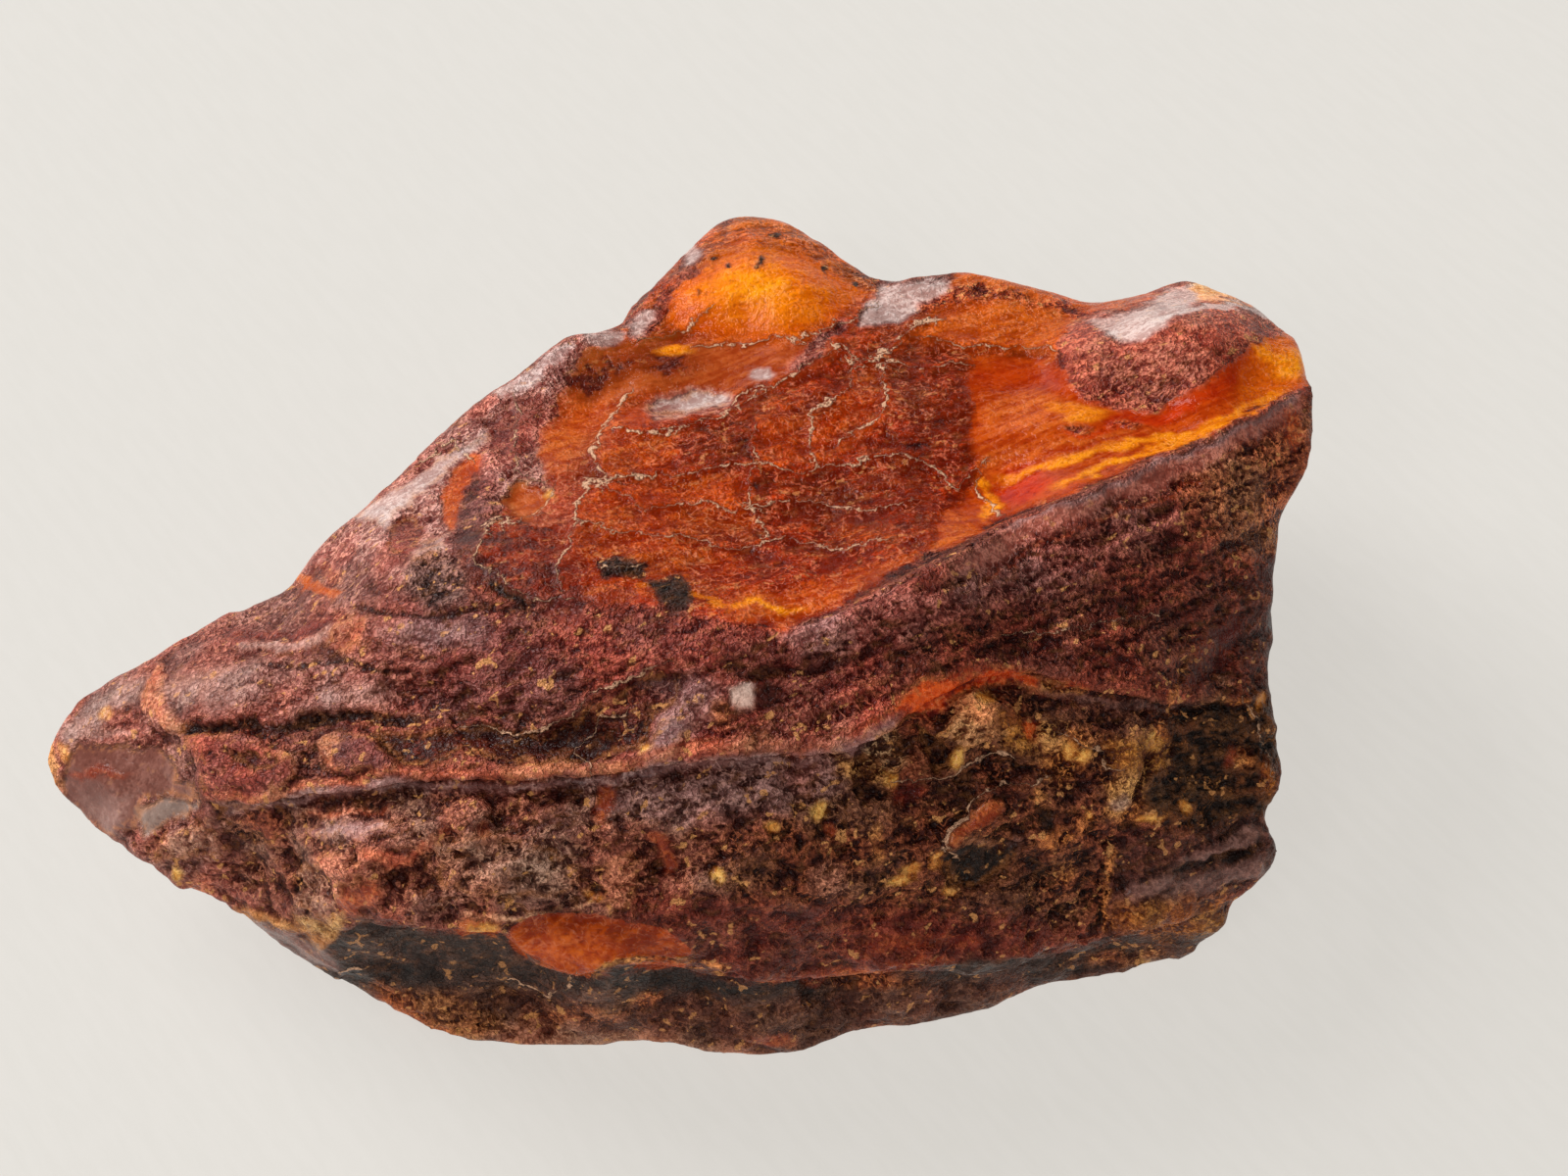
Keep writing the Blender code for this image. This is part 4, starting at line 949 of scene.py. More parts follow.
# The ember band and the lumps under it.
EMBER_MARKS: list[Mark] = [
    Patch(Finish.EMBER_BAND, [
        (895, 735), (920, 712), (942, 690), (1000, 681), (1050, 688), (1109, 700), (1109, 712),
        (1061, 707), (1013, 699), (985, 710), (945, 730), (900, 752), (866, 757),
    ], 0.5, 1, 0.2),
    # Painted sheen along the ledge.
    Patch(Finish.HEATHER, [
        (846, 768), (862, 757), (892, 745), (906, 732), (918, 728), (915, 748), (900, 765),
        (880, 776), (860, 775),
    ], 0.5, 0.9, 0.2),
    Patch(Finish.PIT_BROWN, [
        (915, 732), (940, 730), (962, 760), (965, 790), (940, 800), (920, 795), (925, 765),
    ], 0.6, 0.95),
    Patch(Finish.PALE_GREEN, [
        (900, 752), (915, 742), (922, 760), (922, 778), (912, 792), (885, 782), (878, 775),
    ], 0.5, 0.9, -0.5),
    Spot(Finish.AMBER_DROP, 908, 796, 8, 9, 0, 1, 0.3),
    Patch(Finish.TAN_CRUMB, [
        (848, 770), (870, 775), (900, 785), (908, 800), (880, 800), (855, 790),
    ], 0.5, 0.8),
    Patch(Finish.PIT_DARK, [
        (938, 742), (962, 748), (970, 775), (958, 790), (945, 770),
    ], 0.5, 0.9, -0.8),
    Patch(Finish.TAN_LUMP, [
        (965, 745), (972, 718), (1000, 703), (1022, 722), (1018, 750), (985, 768),
    ], 0.4, 1, 0.6),
    Spot(Finish.AMBER_DROP, 1008, 712, 7, 8, 0, 0.8),
    Spot(Finish.AMBER_DROP, 976, 774, 7, 11, 0, 1, 0.4),
    Patch(Finish.TOPAZ, [
        (1022, 722), (1050, 735), (1062, 745), (1050, 770), (1022, 765), (1020, 745),
    ], 0.5, 0.9),
    Spot(Finish.EMBER_BAND, 1054, 748, 10, 16, 30, 0.9),
    Patch(Finish.TAN_CRUMB, [
        (1060, 738), (1085, 740), (1110, 752), (1112, 790), (1075, 800), (1055, 780),
    ], 0.8, 0.9),
    Spot(Finish.AMBER_DROP, 1092, 765, 8, 8, 0, 0.9, 0.2),
    Spot(Finish.AMBER_DROP, 1106, 772, 6, 9, 0, 1, 0.3),
    Patch(Finish.TOPAZ, [
        (1120, 755), (1190, 748), (1195, 785), (1165, 795), (1128, 785),
    ], 0.8, 0.9),
    Spot(Finish.AMBER_DROP, 1175, 758, 8, 10, 0, 0.9, 0.2),
    Patch(Finish.TAN_CRUMB, [
        (1128, 800), (1165, 790), (1168, 825), (1155, 845), (1130, 830),
    ], 0.6, 0.9),
    Spot(Finish.TAN_GREY, 1142, 817, 10, 8, 0, 0.9),
    Spot(Finish.TAN_CRUMB, 1060, 812, 8, 9, 0, 0.7),
    Spot(Finish.TAN_CRUMB, 1080, 858, 18, 12, 20, 0.8),
    Spot(Finish.TAN_CRUMB, 1105, 842, 10, 10, 0, 0.6),
    Spot(Finish.AMBER_DROP, 1112, 832, 6, 4, 0, 0.8),
    Spot(Finish.AMBER_DROP, 1172, 838, 18, 4, 5, 0.9),
    Spot(Finish.AMBER_DROP, 1207, 826, 6, 5, 0, 0.9),
    Spot(Finish.TAN_CRUMB, 1268, 772, 10, 9, 0, 0.9),
    Spot(Finish.EMBER, 1255, 770, 6, 10, 0, 0.7),
    Spot(Finish.AMBER_DROP, 1288, 716, 6, 8, 0, 0.9),
    Spot(Finish.TAN_CRUMB, 1262, 716, 14, 5, 0, 0.8),
    Spot(Finish.TAN_GREY, 1252, 698, 8, 6, 0, 0.8),
    Spot(Finish.TOPAZ, 1292, 790, 10, 16, 0, 0.8),
    # A painted highlight along a rib.
    Stroke(Finish.RIB_LIGHT, [
        (1055, 702), (1110, 716), (1180, 722), (1230, 716),
    ], 4, 0.8),
    Stroke(Finish.TAN_CRUMB, [
        (1060, 698), (1085, 704), (1110, 708),
    ], 3, 0.9),
    Patch(Finish.EMBER, [
        (985, 838), (1000, 820), (1020, 810), (1024, 824), (1005, 842), (985, 855), (972, 868),
        (962, 862), (970, 848),
    ], 0.3, 0.95, 0.5),
    # Painted shade in a sunk pit.
    Patch(Finish.MIDNIGHT, [
        (962, 872), (1000, 860), (1040, 862), (1030, 885), (1000, 905), (965, 905),
    ], 0.5, 1, -0.6),
    # A painted highlight on the pit's rim.
    Stroke(Finish.RIB_LIGHT, [
        (972, 875), (998, 862), (1030, 862), (1045, 855),
    ], 2.5, 0.7, 0.2),
    # Painted shade in a sunk pit.
    Spot(Finish.MIDNIGHT, 1068, 838, 8, 14, 0, 0.9, -0.3),
    Patch(Finish.EMBER_DARK, [
        (905, 803), (935, 800), (950, 802), (945, 812), (915, 818),
    ], 0.5, 0.9),
    Spot(Finish.AMBER_DROP, 836, 828, 7, 11, -15, 1, 0.3),
    Spot(Finish.EMBER, 848, 843, 8, 7, 0, 0.9),
    Spot(Finish.AMBER_DROP, 930, 888, 12, 7, 15, 0.9),
    Spot(Finish.AMBER_DROP, 918, 900, 14, 4, 15, 0.9),
    Spot(Finish.AMBER_DROP, 955, 880, 7, 8, 0, 0.8),
    Spot(Finish.AMBER_DROP, 968, 909, 8, 4, 0, 0.9),
    Spot(Finish.TAN_CRUMB, 895, 860, 8, 20, 0, 0.6),
    Spot(Finish.TAN_CRUMB, 1022, 866, 5, 6, 0, 0.8),
    Spot(Finish.TAN_CRUMB, 1085, 890, 12, 10, 0, 0.6),
    Spot(Finish.AMBER_DROP, 606, 914, 10, 5, -20, 0.9),
    # A dark line sunk along a crack: painted shade.
    Stroke(Finish.COAL, [
        (1141, 855), (1128, 885), (1124, 915), (1120, 950),
    ], 2, 0.9, -0.4),
    Stroke(Finish.TAN_CRUMB, [
        (1138, 860), (1133, 885), (1127, 925), (1128, 950),
    ], 2.5, 0.8),
    Stroke(Finish.TAN_CRUMB, [
        (1214, 672), (1198, 704), (1184, 736), (1174, 774), (1160, 806),
    ], 2.0, 0.6),
]
# Along the rim.
RIM_MARKS: list[Mark] = [
    Patch(Finish.RIM_AMBER, [
        (515, 955), (530, 938), (560, 933), (600, 930), (640, 938), (680, 948), (705, 965),
        (700, 985), (680, 990), (640, 985), (620, 990), (600, 997), (575, 995), (545, 980),
        (525, 968),
    ], 0.5, 1),
    Patch(Finish.FLAME, [
        (525, 962), (560, 950), (600, 958), (640, 968), (625, 982), (598, 992), (570, 986),
        (540, 974),
    ], 1.0, 0.7),
    Patch(Finish.RIM_AMBER, [
        (465, 940), (512, 938), (508, 956), (470, 960),
    ], 0.4, 0.8, 0.2),
    Stroke(Finish.AMBER_DROP, [
        (478, 948), (508, 945),
    ], 4, 0.7),
    Stroke(Finish.CREAM, [
        (470, 936), (520, 936), (560, 932), (590, 925), (605, 918), (615, 910),
    ], 1.6, 0.9, 0.2),
    Stroke(Finish.TAN_CRUMB, [
        (600, 996), (625, 984), (650, 978), (700, 980), (740, 992),
    ], 2.5, 0.8),
    Stroke(Finish.EMBER, [
        (770, 1000), (800, 1002), (830, 1000), (860, 990), (900, 990), (940, 978), (990, 985),
    ], 3, 0.7),
    Stroke(Finish.EMBER, [
        (880, 968), (920, 962), (960, 960), (1000, 962),
    ], 8, 0.5),
]
# The upper left rim.
LEFT_RIM_MARKS: list[Mark] = [
    Patch(Finish.ROSE_RIM, [
        (303, 575), (380, 515), (450, 445), (540, 380), (590, 340), (600, 355), (580, 380),
        (560, 430), (545, 470), (560, 500), (530, 500), (490, 540), (480, 580), (420, 600),
        (350, 600),
    ], 0.8, 0.95),
    # Painted sheen along the upper left rim.
    Patch(Finish.PEARL, [
        (362, 528), (385, 508), (420, 490), (448, 470), (480, 452), (500, 440), (498, 455),
        (470, 470), (445, 495), (425, 505), (405, 530), (395, 545), (385, 535),
    ], 0.3, 0.8, 0.25),
    # Painted sheen.
    Patch(Finish.PEARL, [
        (505, 402), (540, 376), (575, 350), (588, 358), (560, 372), (545, 395), (515, 410),
    ], 0.3, 0.7),
    Patch(Finish.GARNET_RED, [
        (498, 440), (515, 415), (545, 400), (560, 412), (550, 440), (530, 462), (505, 465),
        (495, 455),
    ], 0.6, 0.8),
    Patch(Finish.GARNET_RED, [
        (395, 540), (425, 528), (430, 545), (420, 562), (400, 566),
    ], 0.4, 0.9, -0.2),
    # Painted sheen.
    Patch(Finish.PEARL, [
        (420, 560), (456, 545), (450, 560), (432, 574), (418, 572),
    ], 0.4, 0.8, 0.2),
    Patch(Finish.SADDLE, [
        (450, 528), (452, 500), (462, 482), (480, 466), (494, 470), (490, 484), (478, 498),
        (470, 520), (464, 540), (456, 545),
    ], 0.3, 0.95),
    Patch(Finish.PLUM, [
        (480, 490), (510, 488), (512, 530), (490, 545), (470, 560), (462, 548), (470, 520),
    ], 0.6, 0.9),
    Patch(Finish.WINE, [
        (386, 566), (405, 560), (420, 570), (405, 580),
    ], 0.5, 0.7),
    Patch(Finish.WINE, [
        (465, 550), (482, 535), (486, 570), (505, 592), (535, 606), (516, 610), (482, 594),
        (470, 570),
    ], 0.4, 0.9),
    # A sunk line painted with shade.
    Stroke(Finish.HOLLOW, [
        (364, 617), (400, 628), (440, 631), (516, 618), (541, 614),
    ], 2.5, 0.9, -0.3),
    # Painted sheen.
    Patch(Finish.HEATHER, [
        (380, 640), (430, 632), (500, 640), (505, 655), (450, 662), (390, 660),
    ], 1, 0.6),
    Patch(Finish.NET, [
        (415, 568), (440, 556), (470, 570), (482, 590), (472, 615), (440, 622), (412, 605),
    ], 0.7, 0.95),
    Patch(Finish.BROWN_ROSE, [
        (335, 575), (385, 570), (412, 590), (410, 615), (370, 612), (330, 600),
    ], 1, 0.7),
    Patch(Finish.NOTCH, [
        (303, 580), (318, 590), (352, 606), (342, 611), (310, 600),
    ], 0.3, 1),
    Spot(Finish.SALMON, 335, 585, 16, 8, -20, 0.8),
    Patch(Finish.AMBER_DEEP, [
        (519, 512), (532, 492), (558, 502), (555, 518), (540, 530), (524, 526),
    ], 0.3, 1, -0.4),
    Spot(Finish.AMBER_DROP, 560, 505, 6, 5, 0, 0.9),
    Stroke(Finish.CREAM, [
        (519, 512), (528, 494), (548, 492), (562, 500),
    ], 1.2, 0.8, 0.15),
    Patch(Finish.RED_FACET, [
        (486, 562), (500, 535), (520, 522), (568, 548), (581, 586), (572, 609), (542, 609),
        (517, 596), (496, 580),
    ], 0.4, 0.9),
    # A dark slit sunk into the crust: painted shade.
    Stroke(Finish.COAL, [
        (500, 596), (520, 606), (534, 612),
    ], 4, 0.9, -0.3),
    Patch(Finish.GARNET_RED, [
        (548, 614), (590, 600), (591, 640), (570, 632),
    ], 0.5, 0.8),
    Patch(Finish.EMBER, [
        (592, 600), (622, 594), (657, 600), (655, 612), (620, 616), (593, 614),
    ], 0.4, 0.9),
    Patch(Finish.FLAME, [
        (738, 618), (770, 602), (820, 600), (870, 587), (905, 572), (935, 562), (900, 592),
        (850, 622), (800, 640), (760, 636),
    ], 0.7, 0.8),
    Stroke(Finish.GOLD, [
        (745, 622), (775, 614), (800, 622), (820, 616),
    ], 3, 0.9),
    Stroke(Finish.GOLD, [
        (650, 600), (690, 604), (720, 612), (745, 622),
    ], 2.5, 0.6),
    Patch(Finish.INCLUSION, [
        (608, 572), (640, 566), (662, 580), (655, 592), (630, 590), (610, 588),
    ], 0.4, 1),
    Patch(Finish.INCLUSION, [
        (655, 596), (690, 588), (706, 600), (700, 622), (682, 630), (672, 612),
    ], 0.4, 1),
    Patch(Finish.PLUM, [
        (650, 622), (720, 630), (760, 650), (700, 668), (640, 650),
    ], 1.2, 0.5),
    # Painted sheen under the crest.
    Patch(Finish.HEATHER, [
        (792, 648), (830, 632), (862, 622), (850, 640), (815, 655),
    ], 0.6, 0.6),
]
# Painted pale highlights and glints, and dark specks on the dome.
PALE_GLINTS: list[Mark] = [
    Patch(Finish.DISH_WHITE, [
        (655, 415), (690, 402), (742, 402), (748, 408), (735, 418), (700, 425), (668, 424),
    ], 0.5, 0.9, -0.2),
    Patch(Finish.PEARL, [
        (668, 412), (690, 405), (735, 406), (742, 412), (720, 418), (690, 417),
    ], 0.3, 0.9),
    Patch(Finish.BOWL, [
        (632, 425), (655, 412), (662, 425), (650, 436), (636, 436),
    ], 0.4, 0.8),
    Patch(Finish.PEARL, [
        (762, 388), (772, 378), (788, 374), (792, 380), (782, 388),
    ], 0.25, 0.8),
    Spot(Finish.COAL, 743, 272, 3, 2.5, 0, 1),
    Spot(Finish.COAL, 772, 268, 4, 3, 0, 1),
    Spot(Finish.COAL, 843, 275, 4, 3, 0, 1),
    Spot(Finish.COAL, 870, 292, 3, 3, 0, 1),
    Spot(Finish.COAL, 730, 262, 3, 2.5, 0, 0.9),
    Spot(Finish.COAL, 790, 240, 5, 2.5, 0, 0.9),
    Spot(Finish.COAL, 715, 300, 2.5, 2.5, 0, 0.9),
]
# All marks, in the order they are laid: later ones cover earlier ones.
MARKS: list[Mark] = [
    *SNOUT_GROUND,
    *UPPER_SLAB_MARKS,
    *LOWER_SLAB_MARKS,
    *UNDERCUT_MARKS,
    *WINDOW_MARKS,
    *THUMB_MARKS,
    *SNOUT_FLAKES,
    *GROOVE_MARKS,
    *MIDDLE_MARKS,
    *EMBER_MARKS,
    *RIM_MARKS,
    *LEFT_RIM_MARKS,
    *PALE_GLINTS,
]
# Raised threads of tan rind along old cracks: points in dots, and half width in mm.
CRACKS: dict[str, tuple[Line, float]] = {
    "dome foot": ([
        (657, 348), (703, 338), (721, 317),
    ], 0.1),
    "dome step": ([
        (716, 353), (772, 348), (797, 344), (818, 344), (856, 329), (889, 315),
    ], 0.14),
    "under the dish": ([
        (634, 435), (667, 441), (693, 440), (723, 424), (749, 419), (756, 404), (782, 394),
    ], 0.2),
    "rough ridge": ([
        (754, 419), (782, 400), (820, 378), (846, 362), (858, 352),
    ], 0.3),
    "middle": ([
        (848, 353), (871, 373), (870, 391), (848, 412), (828, 422), (825, 447), (833, 475),
    ], 0.18),
    "short": ([
        (769, 430), (772, 475), (761, 488), (763, 498), (768, 520), (782, 545),
    ], 0.16),
    "left": ([
        (640, 402), (629, 419), (611, 442), (601, 463), (616, 481), (621, 493),
    ], 0.22),
    "right": ([
        (958, 325), (935, 330), (915, 350), (887, 368), (902, 379), (904, 404), (899, 424),
        (879, 437), (858, 452),
    ], 0.24),
    "level": ([
        (621, 488), (657, 483), (688, 484), (718, 478), (739, 475), (774, 475), (815, 481),
        (853, 475), (887, 470), (917, 463), (938, 470),
    ], 0.14),
    "left foot": ([
        (621, 490), (600, 492), (592, 505), (588, 530), (580, 560), (566, 580), (572, 590),
    ], 0.2),
    "red facet rim": ([
        (512, 530), (498, 540), (486, 556), (486, 573), (519, 598), (555, 614), (577, 611),
    ], 0.2),
    "eye rim": ([
        (562, 500), (552, 522), (535, 532), (515, 535), (508, 545),
    ], 0.16),
    "bowl left": ([
        (938, 470), (960, 480), (975, 500), (985, 490), (1002, 474),
    ], 0.14),
    "bowl foot": ([
        (1002, 474), (1000, 500), (1012, 520), (1023, 527),
    ], 0.14),
    "crease thread": ([
        (479, 741), (504, 740), (519, 748), (550, 750), (570, 739), (591, 723), (598, 713),
        (616, 703), (647, 691), (680, 676),
    ], 0.2),
    "crease loop": ([
        (604, 784), (604, 772), (593, 769), (591, 762), (604, 749), (614, 733), (632, 731),
        (644, 723),
    ], 0.14),
    "pit thread": ([
        (916, 798), (962, 798), (978, 788), (988, 777), (1018, 766), (1034, 776),
    ], 0.16),
    "right thread": ([
        (1088, 750), (1109, 761), (1120, 764), (1125, 774), (1128, 788), (1141, 789),
    ], 0.16),
    "hook rim": ([
        (1072, 794), (1055, 796), (1029, 801), (1007, 809), (991, 823), (986, 839), (970, 849),
        (962, 863), (975, 874),
    ], 0.22),
    "flow thread": ([
        (1030, 648), (1082, 643), (1114, 638), (1168, 626), (1184, 623),
    ], 0.12),
    "foot curl": ([
        (522, 1003), (545, 1008), (566, 1015), (582, 1006), (584, 1000),
    ], 0.16),
    "foot line": ([
        (345, 1000), (350, 992), (370, 988),
    ], 0.16),
    "saddle line": ([
        (940, 348), (983, 352), (1044, 356), (1074, 360),
    ], 0.1),
    "shoulder": ([
        (430, 470), (462, 452), (480, 470),
    ], 0.14),
    "right edge": ([
        (1272, 715), (1283, 740), (1292, 770), (1298, 790),
    ], 0.14),
    "plates a": ([
        (621, 493), (660, 520), (700, 512), (760, 520), (820, 510), (880, 520), (930, 512),
    ], 0.1),
    "plates b": ([
        (596, 530), (640, 545), (700, 548), (750, 560), (800, 548), (850, 560), (900, 548),
    ], 0.09),
    "plates c": ([
        (860, 352), (880, 372), (905, 368), (940, 378), (985, 372),
    ], 0.1),
    "left bowl": ([
        (524, 400), (530, 430), (520, 455), (528, 480), (548, 492),
    ], 0.14),
    "inclusion thread": ([
        (615, 578), (635, 582), (650, 574),
    ], 0.14),
}


# ---------------------------------------------------------------------------------------------
# The skin
# ---------------------------------------------------------------------------------------------

FAR = 9.0  # stands for a thread that is too far off to matter, in mm
# Noise is read at places shifted by these, so that no two kinds of relief rise together.
ACROSS_SHIFT, UP_SHIFT = 70.0, -35.0
FINE_SHIFT, LUMP_SHIFT, PIT_SHIFT, WINDOW_SHIFT = 40.0, 11.0, -80.0, 15.0

def waves(points: np.ndarray, height: float, distance: float, octaves: int = 3) -> np.ndarray:
    """Fractal waves at world points.

    Args:
        points: World points in mm, or any other places with three numbers each.
        height: How high the waves are, in mm.
        distance: How far apart the broadest ones are, in mm.
        octaves: How many finer layers they have.

    Returns:
        The rise at each point, in mm.
    """
    spread = points / distance
    return height * np.array([noise.fractal(Vector(place), 0.6, 2.1, octaves) for place in spread])


def wobble(points: np.ndarray, reach: float, distance: float) -> np.ndarray:
    """Random shifts on the sheet, which make drawn edges ragged.

    Args:
        points: World points in mm.
        reach: How far the shifts go, in mm.
        distance: How far apart the broadest bends are, in mm.

    Returns:
        Rows of (across, up) shifts in mm.
    """
    shifts = [waves(points + shift, reach, distance, 3) for shift in (ACROSS_SHIFT, UP_SHIFT)]
    return np.stack(shifts, axis=1)


@dataclass
class NuggetSkin:
    """The nugget's finely modelled surface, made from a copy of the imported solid."""

    node: str = "amber_nugget"
    voxel: float = 0.38
    facet_smoothing: int = 22
    triangle_limit: int = 188000
    hidden_levels: int = 10
    crest_lip: float = 0.35
    ledge_lip: float = 0.75
    rim_lip: float = 0.45
    lip_run: float = 1.1
    lip_width: float = 0.18
    crack_height: float = 0.2
    crack_step: float = 0.16
    crack_wobble: float = 0.5
    crack_bends: float = 2.4
    terrace_height: float = 0.42
    flake_rim: float = 0.2
    terrace_turn: float = math.radians(9.0)
    edge_wobble: float = 0.55
    edge_bends: float = 3.0
    striation_height: float = 0.3
    striation_turn: float = math.radians(22.0)
    striation_length: float = 16.0
    striation_width: float = 1.5
    terrace_length: float = 13.0
    terrace_width: float = 4.2
    terrace_spacing: float = 7.0
    wrinkle_height: float = 0.26
    wrinkle_size: float = 2.4
    fine_size: float = 1.0
    lump_height: float = 0.6
    lump_size: float = 5.5
    pit_depth: float = 0.45
    pit_size: float = 3.0
    window_size: float = 16.0
    hollow_rounds: int = 10
    hollow_depth: float = 0.14
    lines: dict[str, tuple[Line, float]] = field(default_factory=lambda: CRACKS)

    def build(self) -> bpy.types.Object:
        """Makes the skin: copy, even out, lay the relief, thin the hidden side, paint."""
        skin = self.copy_solid()
        self.even_out(skin)
        self.lay_relief(skin)
        self.thin_hidden_side(skin)
        self.paint(skin)
        return skin

    def copy_solid(self) -> bpy.types.Object:
        """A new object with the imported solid's mesh, its loose triangles joined."""
        source = bpy.data.objects[self.node]
        skin = bpy.data.objects.new("amber_skin", source.data.copy())
        bpy.context.scene.collection.objects.link(skin)
        bpy.ops.object.select_all(action="DESELECT")
        bpy.context.view_layer.objects.active = skin
        skin.select_set(True)
        skin.data.materials.clear()
        bpy.ops.object.mode_set(mode="EDIT")
        bpy.ops.mesh.select_all(action="SELECT")
        bpy.ops.mesh.remove_doubles(threshold=1e-6)
        bpy.ops.object.mode_set(mode="OBJECT")
        return skin

    def even_out(self, skin: bpy.types.Object) -> None:
        """Gives the skin small even faces and takes the solid's facets off it."""
        even = skin.modifiers.new("even faces", "REMESH")
        even.mode = "VOXEL"
        even.voxel_size = self.voxel * MM
        bpy.ops.object.modifier_apply(modifier=even.name)
        soften = skin.modifiers.new("soften", "SMOOTH")
        soften.iterations = self.facet_smoothing
        bpy.ops.object.modifier_apply(modifier=soften.name)

    def measure(self, skin: bpy.types.Object) -> tuple[np.ndarray, np.ndarray]:
        """The skin's points in mm and its normals, one row each."""
        mesh = skin.data
        points = np.zeros(len(mesh.vertices) * 3, np.float32)
        mesh.vertices.foreach_get("co", points)
        normals = np.zeros(len(mesh.vertices) * 3, np.float32)
        mesh.vertex_normals.foreach_get("vector", normals)
        return points.reshape(-1, 3).astype(float) / MM, normals.reshape(-1, 3).astype(float)

    def finishes(self, places: np.ndarray) -> np.ndarray:
        """The numbers of the finish at each sheet place, one row each, later marks on top."""
        rows = np.tile(Finish.BARK.value.row(), (len(places), 1))
        for mark in MARKS:
            near = mark.near(places)
            weight = mark.strength * mark.weight(places[near])
            rows[near] += weight[:, None] * (mark.finish.value.row() - rows[near])
        return rows

    def flakes(self, places: np.ndarray) -> tuple[np.ndarray, np.ndarray]:
        """How far raised and sunk marks stand out, in mm, and how near their edges are, 0 to 1."""
        rise = np.zeros(len(places))
        rim = np.zeros(len(places))
        for mark in MARKS:
            near = mark.near(places)
            if mark.rise:
                rise[near] += mark.relief(places[near])
            if isinstance(mark, Patch) and mark.rise:
                away = np.abs(mark.depth(places[near]) - self.flake_rim)
                close = 1.0 - smoothstep(0.0, 2.0 * self.flake_rim, away)
                rim[near] = np.maximum(rim[near], close)
        return rise, rim

    def lips(self, places: np.ndarray) -> np.ndarray:
        """The sharp lips of the crest, the ledge and the rim, in mm."""
        rise = np.zeros(len(places))
        for line, height in ((CREST, self.crest_lip), (LEDGE, self.ledge_lip), (RIM, self.rim_lip)):
            apart, side, along = from_line(places, line)
            ends = smoothstep(0.0, 0.06, np.minimum(along, 1.0 - along))
            rise += height * ends * side * np.exp(-apart / self.lip_run) * np.tanh(apart / self.lip_width)
        return rise

    def cracks(self, points: np.ndarray) -> tuple[np.ndarray, np.ndarray, np.ndarray]:
        """Measures points against the threads along old cracks.

        Args:
            points: World points in mm.

        Returns:
            Distance in mm from the nearest thread, the same with a sign for its side, and the
            thread's half width.
        """
        ragged = SHEET.places(points) + wobble(points, self.crack_wobble, self.crack_bends)
        near = np.full(len(points), FAR)
        across = np.full(len(points), FAR)
        half = np.full(len(points), 0.1)
        for line, half_width in self.lines.values():
            apart, side, _ = from_line(ragged, drawn(line))
            nearer = apart < near
            across = np.where(nearer, apart * side, across)
            half = np.where(nearer, half_width, half)
            near = np.minimum(near, apart)
        return near, across, half

    def striations(self, places: np.ndarray) -> np.ndarray:
        """Fine ridges that run along the crest on the crusted slabs, in mm."""
        turn = self.striation_turn
        long = places @ (math.cos(turn), math.sin(turn))
        wide = places @ (-math.sin(turn), math.cos(turn))
        bent = np.stack([
            long / self.striation_length, wide / self.striation_width, np.zeros(len(places)),
        ], axis=1)
        return waves(bent, self.striation_height, 1.0, 3)

    def terraces(self, points: np.ndarray) -> tuple[np.ndarray, np.ndarray]:
        """Thin layers with broken edges, drawn out along the nugget.

        Args:
            points: World points in mm.

        Returns:
            The rise at each point as a share of one layer, and how much it is on a layer's edge.
        """
        places = SHEET.places(points)
        turn = self.terrace_turn
        long = places @ (math.cos(turn), math.sin(turn))
        wide = places @ (-math.sin(turn), math.cos(turn))
        bent = np.stack([
            long / self.terrace_length, wide / self.terrace_width, 0.1 * points[:, 2],
        ], axis=1)
        level = waves(bent, 2.3, 1.0, 4) + wide / self.terrace_spacing
        share = np.mod(level, 1.0)
        rise = smoothstep(0.82, 1.0, share) - 0.9 * share
        edge = smoothstep(0.55, 0.8, share) * (1.0 - smoothstep(0.93, 1.0, share))
        return rise, edge

    def ragged(self, points: np.ndarray) -> np.ndarray:
        """Sheet places of the points, shifted at random so that drawn edges come out ragged."""
        return SHEET.places(points) + wobble(points, self.edge_wobble, self.edge_bends)

    def lay_relief(self, skin: bpy.types.Object) -> None:
        """Moves the skin's points out or in along their normals."""
        points, normals = self.measure(skin)
        places = SHEET.places(points)
        ragged = self.ragged(points)
        facing = SHEET.facing(points, normals)
        seen = smoothstep(-0.05, 0.15, facing)
        rows = self.finishes(ragged)
        smooth = rows[:, SMOOTH] * seen
        rough = 1.0 - 0.85 * smooth
        apart, side, _ = from_line(places, LEDGE)
        lower = np.where(side < 0, smoothstep(0.0, 4.0, apart), 0.0)
        crest_apart, crest_side, _ = from_line(places, CREST)
        slab = np.where(crest_side > 0, smoothstep(0.0, 2.0, crest_apart), 0.0)
        near, across, half = self.cracks(points)
        threads = self.crack_height * (1.0 - smoothstep(0.5 * half, half + 0.45, near))
        threads += self.crack_step * np.exp(-near / 1.2) * np.tanh(across / 0.25)
        rise = (self.lips(places + 0.4 * (ragged - places)) + threads) * seen
        rise += self.flakes(ragged)[0] * smoothstep(0.2, 0.5, facing)
        within = smoothstep(0.3, 0.7, facing)
        rise += self.striations(places) * within * rough * slab * (1.0 - 0.5 * lower)
        covered = 1.0 - 0.75 * rows[:, CLEAR]
        layers, _ = self.terraces(points)
        rise += self.terrace_height * layers * covered * within * (1.0 - 0.75 * smooth)
        coarse = waves(points, self.wrinkle_height, self.wrinkle_size)
        fine = waves(points + FINE_SHIFT, 0.4 * self.wrinkle_height, self.fine_size, 2)
        lumps = waves(points + LUMP_SHIFT, self.lump_height, self.lump_size, 2)
        broken = coarse * (0.6 + 1.1 * lower) + lumps * (0.3 + 0.7 * lower) + fine
